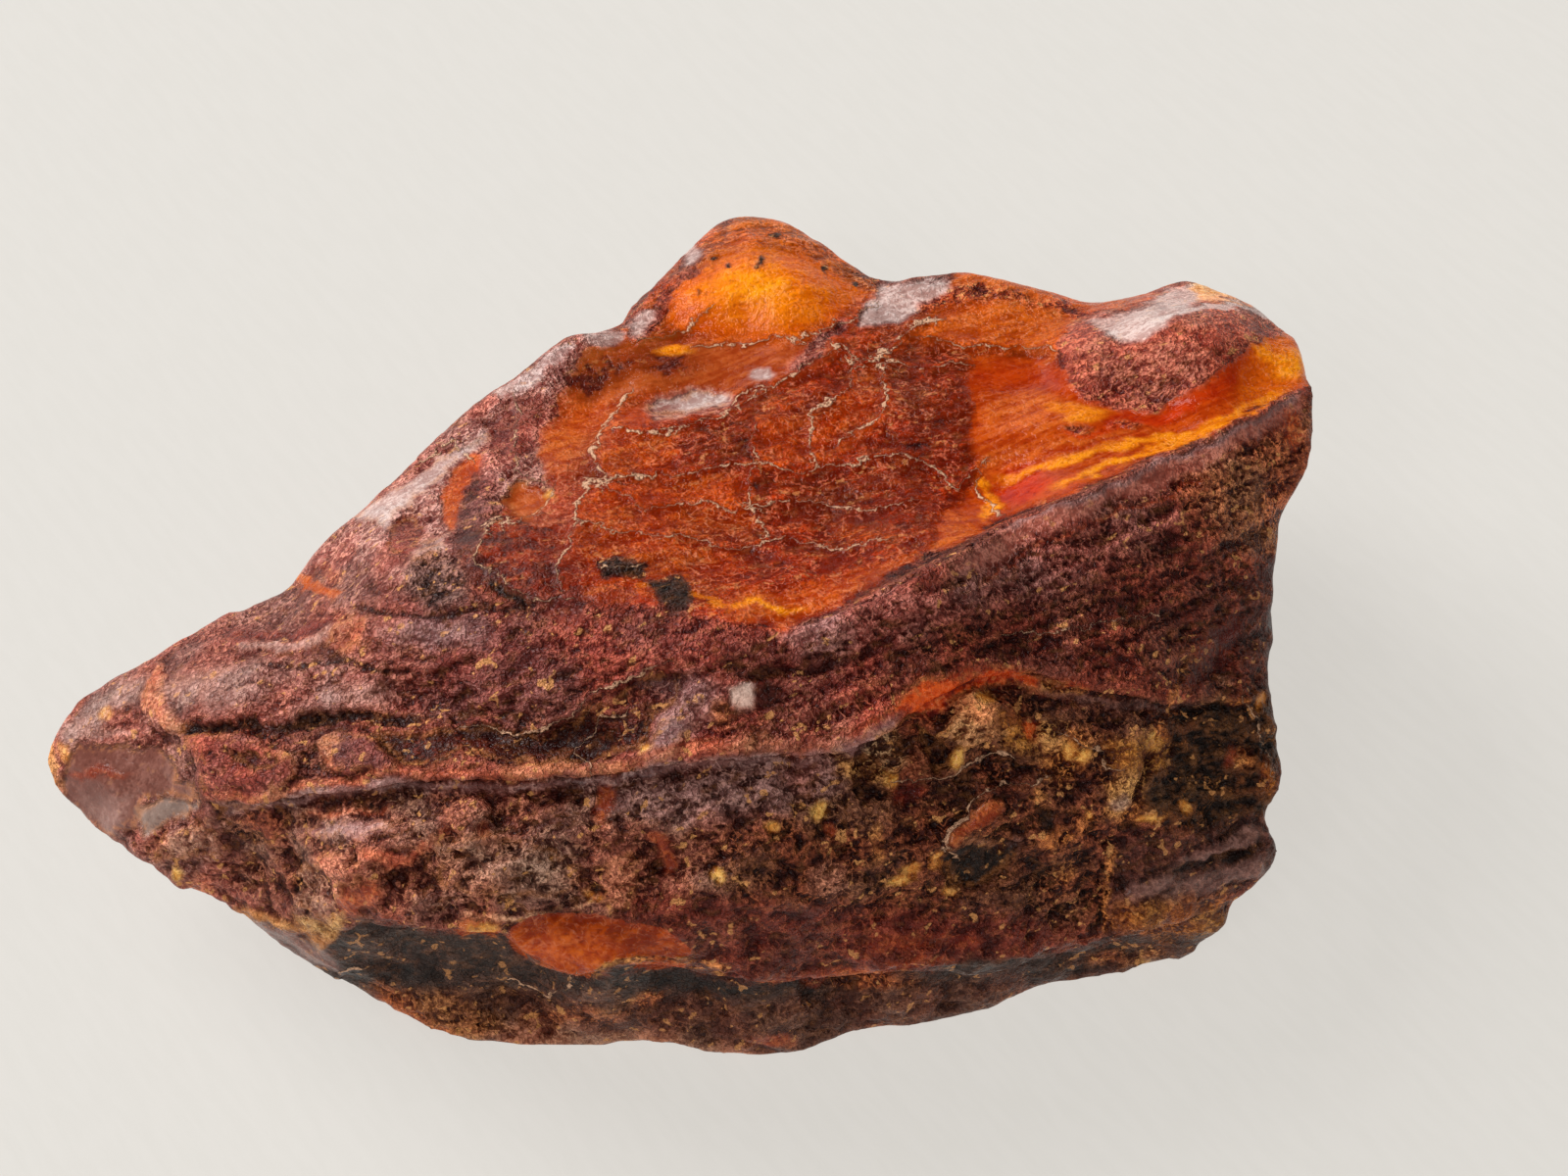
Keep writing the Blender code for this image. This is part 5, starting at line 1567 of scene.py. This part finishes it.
        rise += broken * rough * (0.3 + 0.7 * smoothstep(0.0, 0.35, facing))
        pits = waves(points + PIT_SHIFT, 1.0, self.pit_size, 2)
        rise -= self.pit_depth * smoothstep(0.25, 0.7, pits) * rough * (0.25 + 0.75 * lower) * within
        foot = smoothstep(0.05, 1.2, points[:, 2])
        moved = points + normals * (rise * foot)[:, None]
        moved[:, 2] = np.maximum(moved[:, 2], 0.0)
        skin.data.vertices.foreach_set("co", (moved * MM).astype(np.float32).ravel())
        skin.data.update()

    def thin_hidden_side(self, skin: bpy.types.Object) -> None:
        """Merges faces on the sides that the sheet doesn't show, down to the triangle limit."""
        points, normals = self.measure(skin)
        seen = smoothstep(-0.3, 0.0, SHEET.facing(points, normals))
        hidden = skin.vertex_groups.new(name="hidden")
        for level in range(self.hidden_levels):
            low, high = level / self.hidden_levels, (level + 1) / self.hidden_levels
            chosen = np.nonzero((seen >= low) & (seen < high))[0]
            hidden.add(chosen.tolist(), 1.0 - low, "REPLACE")
        skin.data.calc_loop_triangles()
        thin = skin.modifiers.new("thin", "DECIMATE")
        thin.vertex_group = hidden.name
        thin.ratio = min(1.0, self.triangle_limit / len(skin.data.loop_triangles))
        bpy.ops.object.modifier_apply(modifier=thin.name)
        skin.vertex_groups.clear()
        bpy.ops.object.shade_smooth()

    def hollows(self, skin: bpy.types.Object) -> np.ndarray:
        """How far each vertex lies in a hollow, up to 1, or on a ridge, down to -1."""
        points, normals = self.measure(skin)
        edges = np.zeros(len(skin.data.edges) * 2, np.int32)
        skin.data.edges.foreach_get("vertices", edges)
        ends = edges.reshape(-1, 2)
        here = np.concatenate([ends[:, 0], ends[:, 1]])
        there = np.concatenate([ends[:, 1], ends[:, 0]])
        count = np.bincount(here, minlength=len(points))
        even = points
        for _ in range(self.hollow_rounds):
            sums = [np.bincount(here, even[there, axis], len(points)) for axis in range(3)]
            even = np.stack(sums, axis=1) / count[:, None]
        return np.clip(((even - points) * normals).sum(axis=1) / self.hollow_depth, -1.0, 1.0)

    def store(self, skin: bpy.types.Object, name: str, values: np.ndarray) -> None:
        """Keeps a number, or a colour, for each vertex as an attribute."""
        coloured = values.ndim == 2
        layer = skin.data.attributes.new(name, "FLOAT_COLOR" if coloured else "FLOAT", "POINT")
        if coloured:
            values = np.concatenate([values, np.ones((len(values), 1))], axis=1)
        layer.data.foreach_set("color" if coloured else "value", values.astype(np.float32).ravel())

    def paint(self, skin: bpy.types.Object) -> None:
        """Keeps what the material reads: the finish at each vertex, how far it lies in a hollow, its
        cracks and its edges.
        """
        points, normals = self.measure(skin)
        ragged = self.ragged(points)
        seen = smoothstep(-0.3, -0.15, SHEET.facing(points, normals))
        window = 0.75 * self.hidden_windows(points)[:, None]
        bark, resin = Finish.BARK.value.row(), Finish.PLATE_RED.value.row()
        hidden = bark + window * (resin - bark)
        rows = hidden + seen[:, None] * (self.finishes(ragged) - hidden)
        self.store(skin, "ground", rows[:, 0:3])
        self.store(skin, "crumb", rows[:, 3:SHARE])
        for column, name in ((SHARE, "share"), (SMOOTH, "smooth"), (CLEAR, "clear")):
            self.store(skin, name, rows[:, column])
        # The material paints shade into hollows and sheen onto ridges from this.
        self.store(skin, "hollow", self.hollows(skin))
        near, across, half = self.cracks(points)
        self.store(skin, "crack_near", np.where(seen > 0.5, near, FAR))
        self.store(skin, "crack_half", half)
        self.store(skin, "crack_across", across)
        # The edges of layers and flakes, which the material paints tawny, partly as painted light.
        layers = 0.35 * self.terraces(points)[1] * (1.0 - rows[:, SMOOTH])
        rims = np.maximum(0.8 * self.flakes(ragged)[1], layers)
        self.store(skin, "edge", rims * seen)

    def hidden_windows(self, points: np.ndarray) -> np.ndarray:
        """Clear breaks on the hidden sides, from 0 to 1."""
        broad = waves(points + WINDOW_SHIFT, 1.0, self.window_size, 2)
        return smoothstep(0.25, 0.45, broad)


# ---------------------------------------------------------------------------------------------
# Shader arithmetic
# ---------------------------------------------------------------------------------------------


class Value:
    """A shader socket that takes part in Python arithmetic, one Math node for each operation."""

    def __init__(self, shader: Shader, socket: bpy.types.NodeSocket) -> None:
        """Wraps a socket of a shader's tree."""
        self.shader = shader
        self.socket = socket

    def math(self, operation: str, *others: Value | float, clamp: bool = False) -> Value:
        """The result of a Math node with this value first.

        Args:
            operation: The Math node's operation.
            others: Its other inputs.
            clamp: Whether the result is kept between 0 and 1.

        Returns:
            The node's result.
        """
        settings = {"operation": operation, "use_clamp": clamp}
        return self.shader.node("ShaderNodeMath", settings, dict(enumerate((self, *others))))

    def __add__(self, other: Value | float) -> Value:
        """self + other."""
        return self.math("ADD", other)

    __radd__ = __add__

    def __mul__(self, other: Value | float) -> Value:
        """self * other."""
        return self.math("MULTIPLY", other)

    __rmul__ = __mul__

    def __sub__(self, other: Value | float) -> Value:
        """self - other."""
        return self.math("SUBTRACT", other)

    def __rsub__(self, other: Value | float) -> Value:
        """other - self."""
        return (self * -1.0) + other

    def __abs__(self) -> Value:
        """The size without its sign."""
        return self.math("ABSOLUTE")

    def clamped(self) -> Value:
        """Kept between 0 and 1."""
        return self.math("ADD", 0.0, clamp=True)

    def largest(self, other: Value | float) -> Value:
        """The larger of two values."""
        return self.math("MAXIMUM", other)

    def step(self, low: float | Value, high: float | Value) -> Value:
        """A smooth rise from 0 at low to 1 at high."""
        settings = {"interpolation_type": "SMOOTHSTEP"}
        sockets = {"Value": self, "From Min": low, "From Max": high}
        return self.shader.node("ShaderNodeMapRange", settings, sockets)


class Shader:
    """The node tree of a material or a world, with a short way to add a node."""

    def __init__(self, owner: bpy.types.Material | bpy.types.World, places: str = "Object") -> None:
        """Empties the owner's tree and adds the places that textures are laid on."""
        owner.use_nodes = True
        self.tree = owner.node_tree
        self.tree.nodes.clear()
        self.place = self.node("ShaderNodeTexCoord", output=places)

    def output(self, kind: str, sockets: dict[str, Value]) -> None:
        """Adds the tree's output node and links it."""
        made = self.tree.nodes.new(kind)
        for name, value in sockets.items():
            self.tree.links.new(value.socket, made.inputs[name])

    def node(
        self,
        kind: str,
        settings: dict | None = None,
        sockets: dict | None = None,
        output: str | int = 0,
    ) -> Value:
        """Adds a node.

        Args:
            kind: The node's type.
            settings: Its own settings, which are set first.
            sockets: Values or links of its input sockets, by name or number.
            output: The name or number of the output that is wanted.

        Returns:
            That output.
        """
        made = self.tree.nodes.new(kind)
        for name, value in (settings or {}).items():
            setattr(made, name, value)
        for name, value in (sockets or {}).items():
            if isinstance(value, Value):
                self.tree.links.new(value.socket, made.inputs[name])
            elif isinstance(value, tuple) and made.inputs[name].type == "RGBA":
                made.inputs[name].default_value = (*value, 1.0)
            else:
                made.inputs[name].default_value = value
        return Value(self, made.outputs[output])

    def mix(self, factor: Value | float, first: Value | Colour, second: Value | Colour,
            blend: str = "MIX") -> Value:
        """A mix of two colours: the first where the factor is 0 and the second where it is 1."""
        settings = {"data_type": "RGBA", "blend_type": blend}
        return self.node("ShaderNodeMix", settings, {0: factor, 6: first, 7: second}, output=2)

    def attribute(self, name: str, output: str = "Fac") -> Value:
        """A number that the skin keeps at its vertices, or its "Color"."""
        return self.node("ShaderNodeAttribute", {"attribute_name": name}, output=output)

    def stretched(self, sizes: tuple[float, float, float], turn: float = 0.0) -> Value:
        """Places on the piece, turned about Z and divided by a size in mm along each axis."""
        scale = tuple(size * MM for size in sizes)
        sockets = {"Vector": self.place, "Rotation": (0.0, 0.0, turn), "Scale": scale}
        return self.node("ShaderNodeMapping", {"vector_type": "TEXTURE"}, sockets)

    def noise(self, size: float | Value, detail: float = 2.0, roughness: float = 0.5,
              distortion: float = 0.0) -> Value:
        """Soft noise from 0 to 1, of a size in mm, or on places that are given."""
        place = size if isinstance(size, Value) else self.stretched((size, size, size))
        sockets = {"Vector": place, "Scale": 1.0, "Detail": detail, "Roughness": roughness,
                   "Distortion": distortion}
        return self.node("ShaderNodeTexNoise", None, sockets)

    def net(self, size: float, bend: float = 0.5) -> Value:
        """Distance to the edges of random cells, of a size in mm, from 0 on the edge.

        Args:
            size: The size of the cells.
            bend: How far the edges are bent, as a share of the size.

        Returns:
            The distance, as a share of the size.
        """
        place = self.stretched((size, size, size))
        bends = self.node("ShaderNodeTexNoise", None, {
            "Vector": place, "Scale": 1.3, "Detail": 0.0}, output="Color")
        shift = self.node("ShaderNodeVectorMath", {"operation": "MULTIPLY_ADD"}, {
            0: bends, 1: (bend, bend, bend), 2: place})
        return self.node("ShaderNodeTexVoronoi", {"feature": "DISTANCE_TO_EDGE"}, {
            "Vector": shift, "Scale": 1.0})


# ---------------------------------------------------------------------------------------------
# Finishes
# ---------------------------------------------------------------------------------------------


@dataclass(frozen=True)
class AmberFinish:
    """Raw amber: clear golden resin where the crust is broken, and a wrinkled crust elsewhere."""

    # Painted shade, multiplied into hollows, creases and the lines next to the raised threads; it also
    # darkens dark dots.
    shade: Colour = (0.24, 0.10, 0.07)
    bright: Colour = (1.5, 1.55, 1.5)
    # Tawny rim colour for edges, partly painted light caught on them.
    rim: Colour = (0.60, 0.21, 0.065)
    cream: Colour = (0.85, 0.48, 0.29)
    # Painted sheen, multiplied onto ridges.
    ridge_sheen: Colour = (1.5, 1.55, 1.6)
    warm: Colour = (1.55, 0.85, 0.70)
    cool: Colour = (1.0, 0.96, 1.02)
    gold: Colour = (0.95, 0.42, 0.14)
    inside: Colour = (0.85, 0.36, 0.06)
    inside_red: Colour = (0.65, 0.13, 0.02)
    absorbed: Colour = (0.955, 0.72, 0.02)
    absorption: float = 200.0
    glow: float = 0.35
    cloud: float = 0.82
    speck_size: float = 0.45
    fine_size: float = 0.9
    middle_size: float = 2.6
    broad_size: float = 9.0
    grain_sizes: tuple[float, float, float] = (9.0, 0.8, 1.6)
    grain_turn: float = math.radians(26.0)
    crease_size: float = 0.55
    curl_size: float = 1.3
    fleck_size: float = 0.8
    tint_size: float = 5.5
    bump_depth: float = 0.22

    def material(self) -> bpy.types.Material:
        """The amber material: crust, clear resin with a painted glow where it is cloudy, and the crust's
        inner wall, which has a painted glow too.
        """
        material = bpy.data.materials.new("raw amber")
        material.cycles.emission_sampling = "NONE"
        shader = Shader(material)
        smooth, share = shader.attribute("smooth"), shader.attribute("share")
        speck = shader.noise(self.speck_size, 1.0, 0.75)
        fine = shader.noise(self.fine_size, 2.0, 0.65)
        middle = shader.noise(self.middle_size, 2.0, 0.6)
        broad = shader.noise(self.broad_size, 1.0)
        grain = shader.noise(shader.stretched(self.grain_sizes, self.grain_turn), 2.0, 0.6)
        rough = 1.0 - smooth * 0.92
        thread, thread_shadow = self.thread(shader, fine, middle)
        window = shader.attribute("clear") + (fine - 0.5) * 0.3 + (middle - 0.5) * 0.7
        window = window.step(0.44, 0.56) * (1.0 - thread)
        crumbs = speck * 0.55 + fine * 0.15 + middle * 0.35 + grain * 0.25 + share * 0.3 - 0.3
        crumbs = crumbs.step(0.47, 0.56)
        streaks = grain * 0.4 + fine * 0.25 + middle * 0.2 + broad * 0.15 + (share - 0.5) * 0.3
        streaks = streaks.step(0.40, 0.58)
        cover = crumbs + (streaks - crumbs) * (window * 0.4 + smooth * 0.6)
        # Fewer crumbs in the skin's hollows and more on its ridges, which adds to the painted shade and
        # sheen.
        cover = (cover * 0.8 + 0.1 - shader.attribute("hollow") * rough * 0.35).clamped()
        creases = (1.0 - shader.net(self.crease_size).step(0.0, 0.16)) * rough * (1.0 - window * 0.7)
        curls = 1.0 - abs(shader.noise(self.curl_size, 1.0, 0.5, 0.8) - 0.5).step(0.012, 0.05)
        curls = curls * rough * (middle + share * 0.5).step(0.58, 0.72) * speck.step(0.4, 0.5)
        colour = self.colour(shader, cover, creases, curls, fine, middle, speck, grain)
        # Painted shadow next to the raised threads.
        colour = shader.mix(thread_shadow * 0.5, colour, self.shade, "MULTIPLY")
        colour = shader.mix(thread * 0.9, colour, self.cream)
        bump = self.bump(shader, crumbs * rough, curls, creases, speck, fine, middle, grain,
                         thread, rough)
        crust = shader.node("ShaderNodeBsdfPrincipled", None, {
            "Base Color": colour, "Roughness": 0.46 - smooth * 0.2 + (fine - 0.5) * 0.4,
            "Normal": bump, "IOR": AMBER_IOR, "Specular IOR Level": 0.16,
            "Coat Weight": (smooth - 0.4).largest(0.0) * 0.6, "Coat Roughness": 0.16})
        # The cloudy resin also gives off a painted glow of its own colour.
        cloud = shader.node("ShaderNodeBsdfPrincipled", None, {
            "Base Color": colour, "Roughness": 0.2, "Normal": bump, "IOR": AMBER_IOR,
            "Specular IOR Level": 0.03, "Emission Color": colour, "Emission Strength": 0.24})
        clear = shader.node("ShaderNodeBsdfPrincipled", None, {
            "Base Color": (1.0, 0.93, 0.82), "Roughness": 0.06, "IOR": AMBER_IOR,
            "Transmission Weight": 1.0, "Normal": bump})
        wall = self.inner_wall(shader, broad, grain)
        behind = shader.node("ShaderNodeNewGeometry", output="Backfacing")
        solid = shader.node("ShaderNodeMixShader", None, {0: behind, 1: crust, 2: wall})
        misty = shader.node("ShaderNodeMixShader", None, {0: self.cloud, 1: clear, 2: cloud})
        glassy = shader.node("ShaderNodeMixShader", None, {0: behind, 1: misty, 2: clear})
        surface = shader.node("ShaderNodeMixShader", None, {0: window, 1: solid, 2: glassy})
        resin = shader.node("ShaderNodeVolumeAbsorption", None, {
            "Color": self.absorbed, "Density": self.absorption})
        shader.output("ShaderNodeOutputMaterial", {"Surface": surface, "Volume": resin})
        return material

    def thread(self, shader: Shader, fine: Value, middle: Value) -> tuple[Value, Value]:
        """Where the raised threads along cracks are, and the painted shadows next to them."""
        bent = abs(shader.attribute("crack_across") + (fine - 0.5) * 1.1)
        half = shader.attribute("crack_half") * (middle * 3.4 - 1.3).largest(0.0)
        close = 1.0 - shader.attribute("crack_near").step(0.7, 1.0)
        thread = (1.0 - (bent - half).step(-0.05, 0.06)) * close * fine.step(0.36, 0.46)
        thread_shadow = (1.0 - (bent - half).step(0.05, 0.35)) * close
        return thread, thread_shadow

    def bump(self, shader: Shader, crumbs: Value, curls: Value, creases: Value, speck: Value,
             fine: Value, middle: Value, grain: Value, thread: Value, rough: Value) -> Value:
        """The crust's crumbs, curls, creases and fine grain, as a normal."""
        height = (speck * 0.8 + fine * 1.3 + middle * 2.6 + grain * 0.5) * rough
        height = height + crumbs * 0.5 - creases * 0.5
        sockets = {"Height": height + curls * 0.5 + thread * 0.9, "Strength": 1.0,
                   "Distance": self.bump_depth * MM}
        return shader.node("ShaderNodeBump", None, sockets)

    def colour(self, shader: Shader, cover: Value, creases: Value, curls: Value, fine: Value,
               middle: Value, speck: Value, grain: Value) -> Value:
        """The painted ground and crumbs, with painted shade in hollows and creases, painted sheen on
        ridges, bright curls, and tawny edges that are partly painted light.
        """
        colour = shader.mix(cover, shader.attribute("ground", "Color"),
                            shader.attribute("crumb", "Color"))
        rough = 1.0 - shader.attribute("smooth") * 0.9
        # Painted shade where the bump's middle and fine noise are low, in the creases, and in the skin's
        # hollows; painted sheen on its ridges.
        hollows = (1.0 - (middle * 0.6 + fine * 0.4).step(0.38, 0.52)) * rough
        colour = shader.mix(hollows * 0.45, colour, self.shade, "MULTIPLY")
        colour = shader.mix(creases * 0.35, colour, self.shade, "MULTIPLY")
        hollow = shader.attribute("hollow") * rough
        colour = shader.mix(hollow.largest(0.0) * 0.8, colour, self.shade, "MULTIPLY")
        colour = shader.mix((hollow * -0.8).largest(0.0), colour, self.ridge_sheen, "MULTIPLY")
        dots = (1.0 - speck.step(0.30, 0.38)) * (rough * 0.5 + 0.2)
        colour = shader.mix(dots, colour, self.shade, "MULTIPLY")
        lit = shader.mix(1.0, shader.attribute("crumb", "Color"), self.bright, "MULTIPLY")
        lit = shader.mix(shader.attribute("clear") * 0.5, lit, self.cream)
        colour = shader.mix(curls * 0.75, colour, lit)
        tint = shader.mix(shader.noise(self.tint_size, 1.0).step(0.38, 0.62), self.cool, self.warm)
        colour = shader.mix(rough * 0.6, colour, tint, "MULTIPLY")
        patches = (middle * 0.5 + grain * 0.5).step(0.52, 0.56)
        flecks = shader.noise(self.fleck_size, 1.0).step(0.60, 0.64) * patches
        flecks = flecks * rough * (0.9 - shader.attribute("clear") * 0.75)
        colour = shader.mix(flecks, colour, self.gold)
        # Tawny rims on the edges of flakes and layers: partly the amber's own colour, partly painted
        # light caught on the edges.
        edge = shader.attribute("edge") * (fine * 0.5 + grain * 0.5).step(0.42, 0.54)
        return shader.mix(edge * 0.65, colour, self.rim)

    def inner_wall(self, shader: Shader, broad: Value, grain: Value) -> Value:
        """The inner side of the crust: lit resin with streaks, a little of it glowing."""
        streaks = (grain * 0.6 + broad * 0.4).step(0.42, 0.6)
        colour = shader.mix(streaks, self.inside_red, self.inside)
        lit = shader.node("ShaderNodeBsdfPrincipled", None, {
            "Base Color": colour, "Roughness": 0.9, "Specular IOR Level": 0.0,
            "Emission Color": colour, "Emission Strength": self.glow})
        through = shader.node("ShaderNodeBsdfTranslucent", None, {"Color": (0.9, 0.5, 0.2)})
        return shader.node("ShaderNodeMixShader", None, {0: 0.4, 1: lit, 2: through})


@dataclass(frozen=True)
class PaperFinish:
    """Warm white paper with a slight tooth."""

    colour: Colour = (0.17, 0.163, 0.153)
    shine: Colour = (0.75, 0.722, 0.675)
    shine_low: Colour = (0.737, 0.710, 0.662)
    tooth: float = 0.06

    def material(self) -> bpy.types.Material:
        """The paper material."""
        material = bpy.data.materials.new("paper")
        material.cycles.emission_sampling = "NONE"
        shader = Shader(material)
        ribs = shader.noise(shader.stretched((5.0, 1.1, 2.0), -0.9), 3.0)
        shine = shader.mix(ribs.step(0.35, 0.65), self.shine_low, self.shine)
        bump = shader.node("ShaderNodeBump", None, {
            "Height": ribs, "Strength": 0.8, "Distance": self.tooth * MM})
        paper = shader.node("ShaderNodeBsdfPrincipled", None, {
            "Base Color": self.colour, "Roughness": 0.9, "Normal": bump,
            "Emission Color": shine, "Emission Strength": 0.82})
        shader.output("ShaderNodeOutputMaterial", {"Surface": paper})
        return material


# ---------------------------------------------------------------------------------------------
# The stage
# ---------------------------------------------------------------------------------------------


@dataclass(frozen=True)
class PaperFloor:
    """A plain sheet of paper under the nugget."""

    side: float = 6000.0
    drop: float = 0.02

    def build(self) -> bpy.types.Object:
        """Lays the paper just under the object's lowest face."""
        bpy.ops.object.select_all(action="DESELECT")
        bpy.ops.mesh.primitive_plane_add(size=self.side * MM, location=(0.0, 0.0, -self.drop * MM))
        floor = bpy.context.object
        floor.name = "paper_floor"
        floor.data.materials.append(PaperFinish().material())
        return floor


@dataclass(frozen=True)
class Softbox:
    """A square area light that faces the object."""

    name: str
    place: tuple[float, float, float]
    side: float
    watts: float
    colour: Colour = (1.0, 1.0, 1.0)

    def build(self) -> bpy.types.Object:
        """Adds the light, turned to the middle of the object. Sizes are in metres."""
        bpy.ops.object.light_add(type="AREA", location=self.place)
        light = bpy.context.object
        light.name = self.name
        light.data.shape = "SQUARE"
        light.data.size = self.side
        light.data.energy = self.watts
        light.data.color = self.colour
        aim = Vector((0.0, 0.0, 0.015)) - Vector(self.place)
        light.rotation_euler = aim.to_track_quat("-Z", "Y").to_euler()
        return light


@dataclass(frozen=True)
class Studio:
    """The light on the object and the camera that looks at it."""

    sky: Colour = (0.27, 0.265, 0.255)
    back_sky: Colour = (0.06, 0.06, 0.06)
    softbox: Softbox = Softbox("softbox", (-1.30, 0.95, 1.15), 1.2, 42.0)
    window: Softbox = Softbox("window", (-0.70, -1.06, 1.20), 0.6, 7.0)
    strip: Softbox = Softbox("strip", (-0.42, 1.55, 0.26), 0.35, 0.8)
    image_width: float = SHEET_DOTS / DOTS_PER_MM
    sensor: float = 36.0

    def light(self) -> None:
        """Sets the sky and the three area lights."""
        world = bpy.data.worlds.new("sky")
        shader = Shader(world, "Generated")
        back = shader.node("ShaderNodeSeparateXYZ", None, {0: shader.place}, output="Y")
        sky = shader.mix(back.step(0.1, 0.7), self.sky, self.back_sky)
        shader.output("ShaderNodeOutputWorld", {
            "Surface": shader.node("ShaderNodeBackground", None, {"Color": sky})})
        bpy.context.scene.world = world
        self.softbox.build()
        self.window.build()
        self.strip.build()
        bpy.context.scene.view_settings.view_transform = "Standard"

    def aim_camera(self) -> bpy.types.Object:
        """Puts the camera at the sheet's eye, square to the sheet."""
        _, to_eye = SHEET.axes()
        bpy.ops.object.camera_add(location=tuple(SHEET.eye() * MM))
        camera = bpy.context.object
        camera.name = "view"
        camera.rotation_euler = Vector(-to_eye).to_track_quat("-Z", "Y").to_euler()
        camera.data.sensor_width = self.sensor
        camera.data.lens = self.sensor * SHEET.eye_distance / self.image_width
        camera.data.clip_start = 0.01
        bpy.context.scene.camera = camera
        return camera


def main() -> None:
    """Builds the skin, its finish and the stage, in that order."""
    logging.basicConfig(level=logging.INFO, format="%(name)s: %(message)s")
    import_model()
    skin = NuggetSkin().build()
    skin.data.materials.append(AmberFinish().material())
    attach(skin, "root")
    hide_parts("amber_nugget")
    skin.data.calc_loop_triangles()
    log.info("%s: %d triangles", skin.name, len(skin.data.loop_triangles))
    floor = PaperFloor().build()
    log.info("%s: laid", floor.name)
    studio = Studio()
    studio.light()
    camera = studio.aim_camera()
    log.info("%s: lens %.2f mm", camera.name, camera.data.lens)


if __name__ == "__main__":
    main()
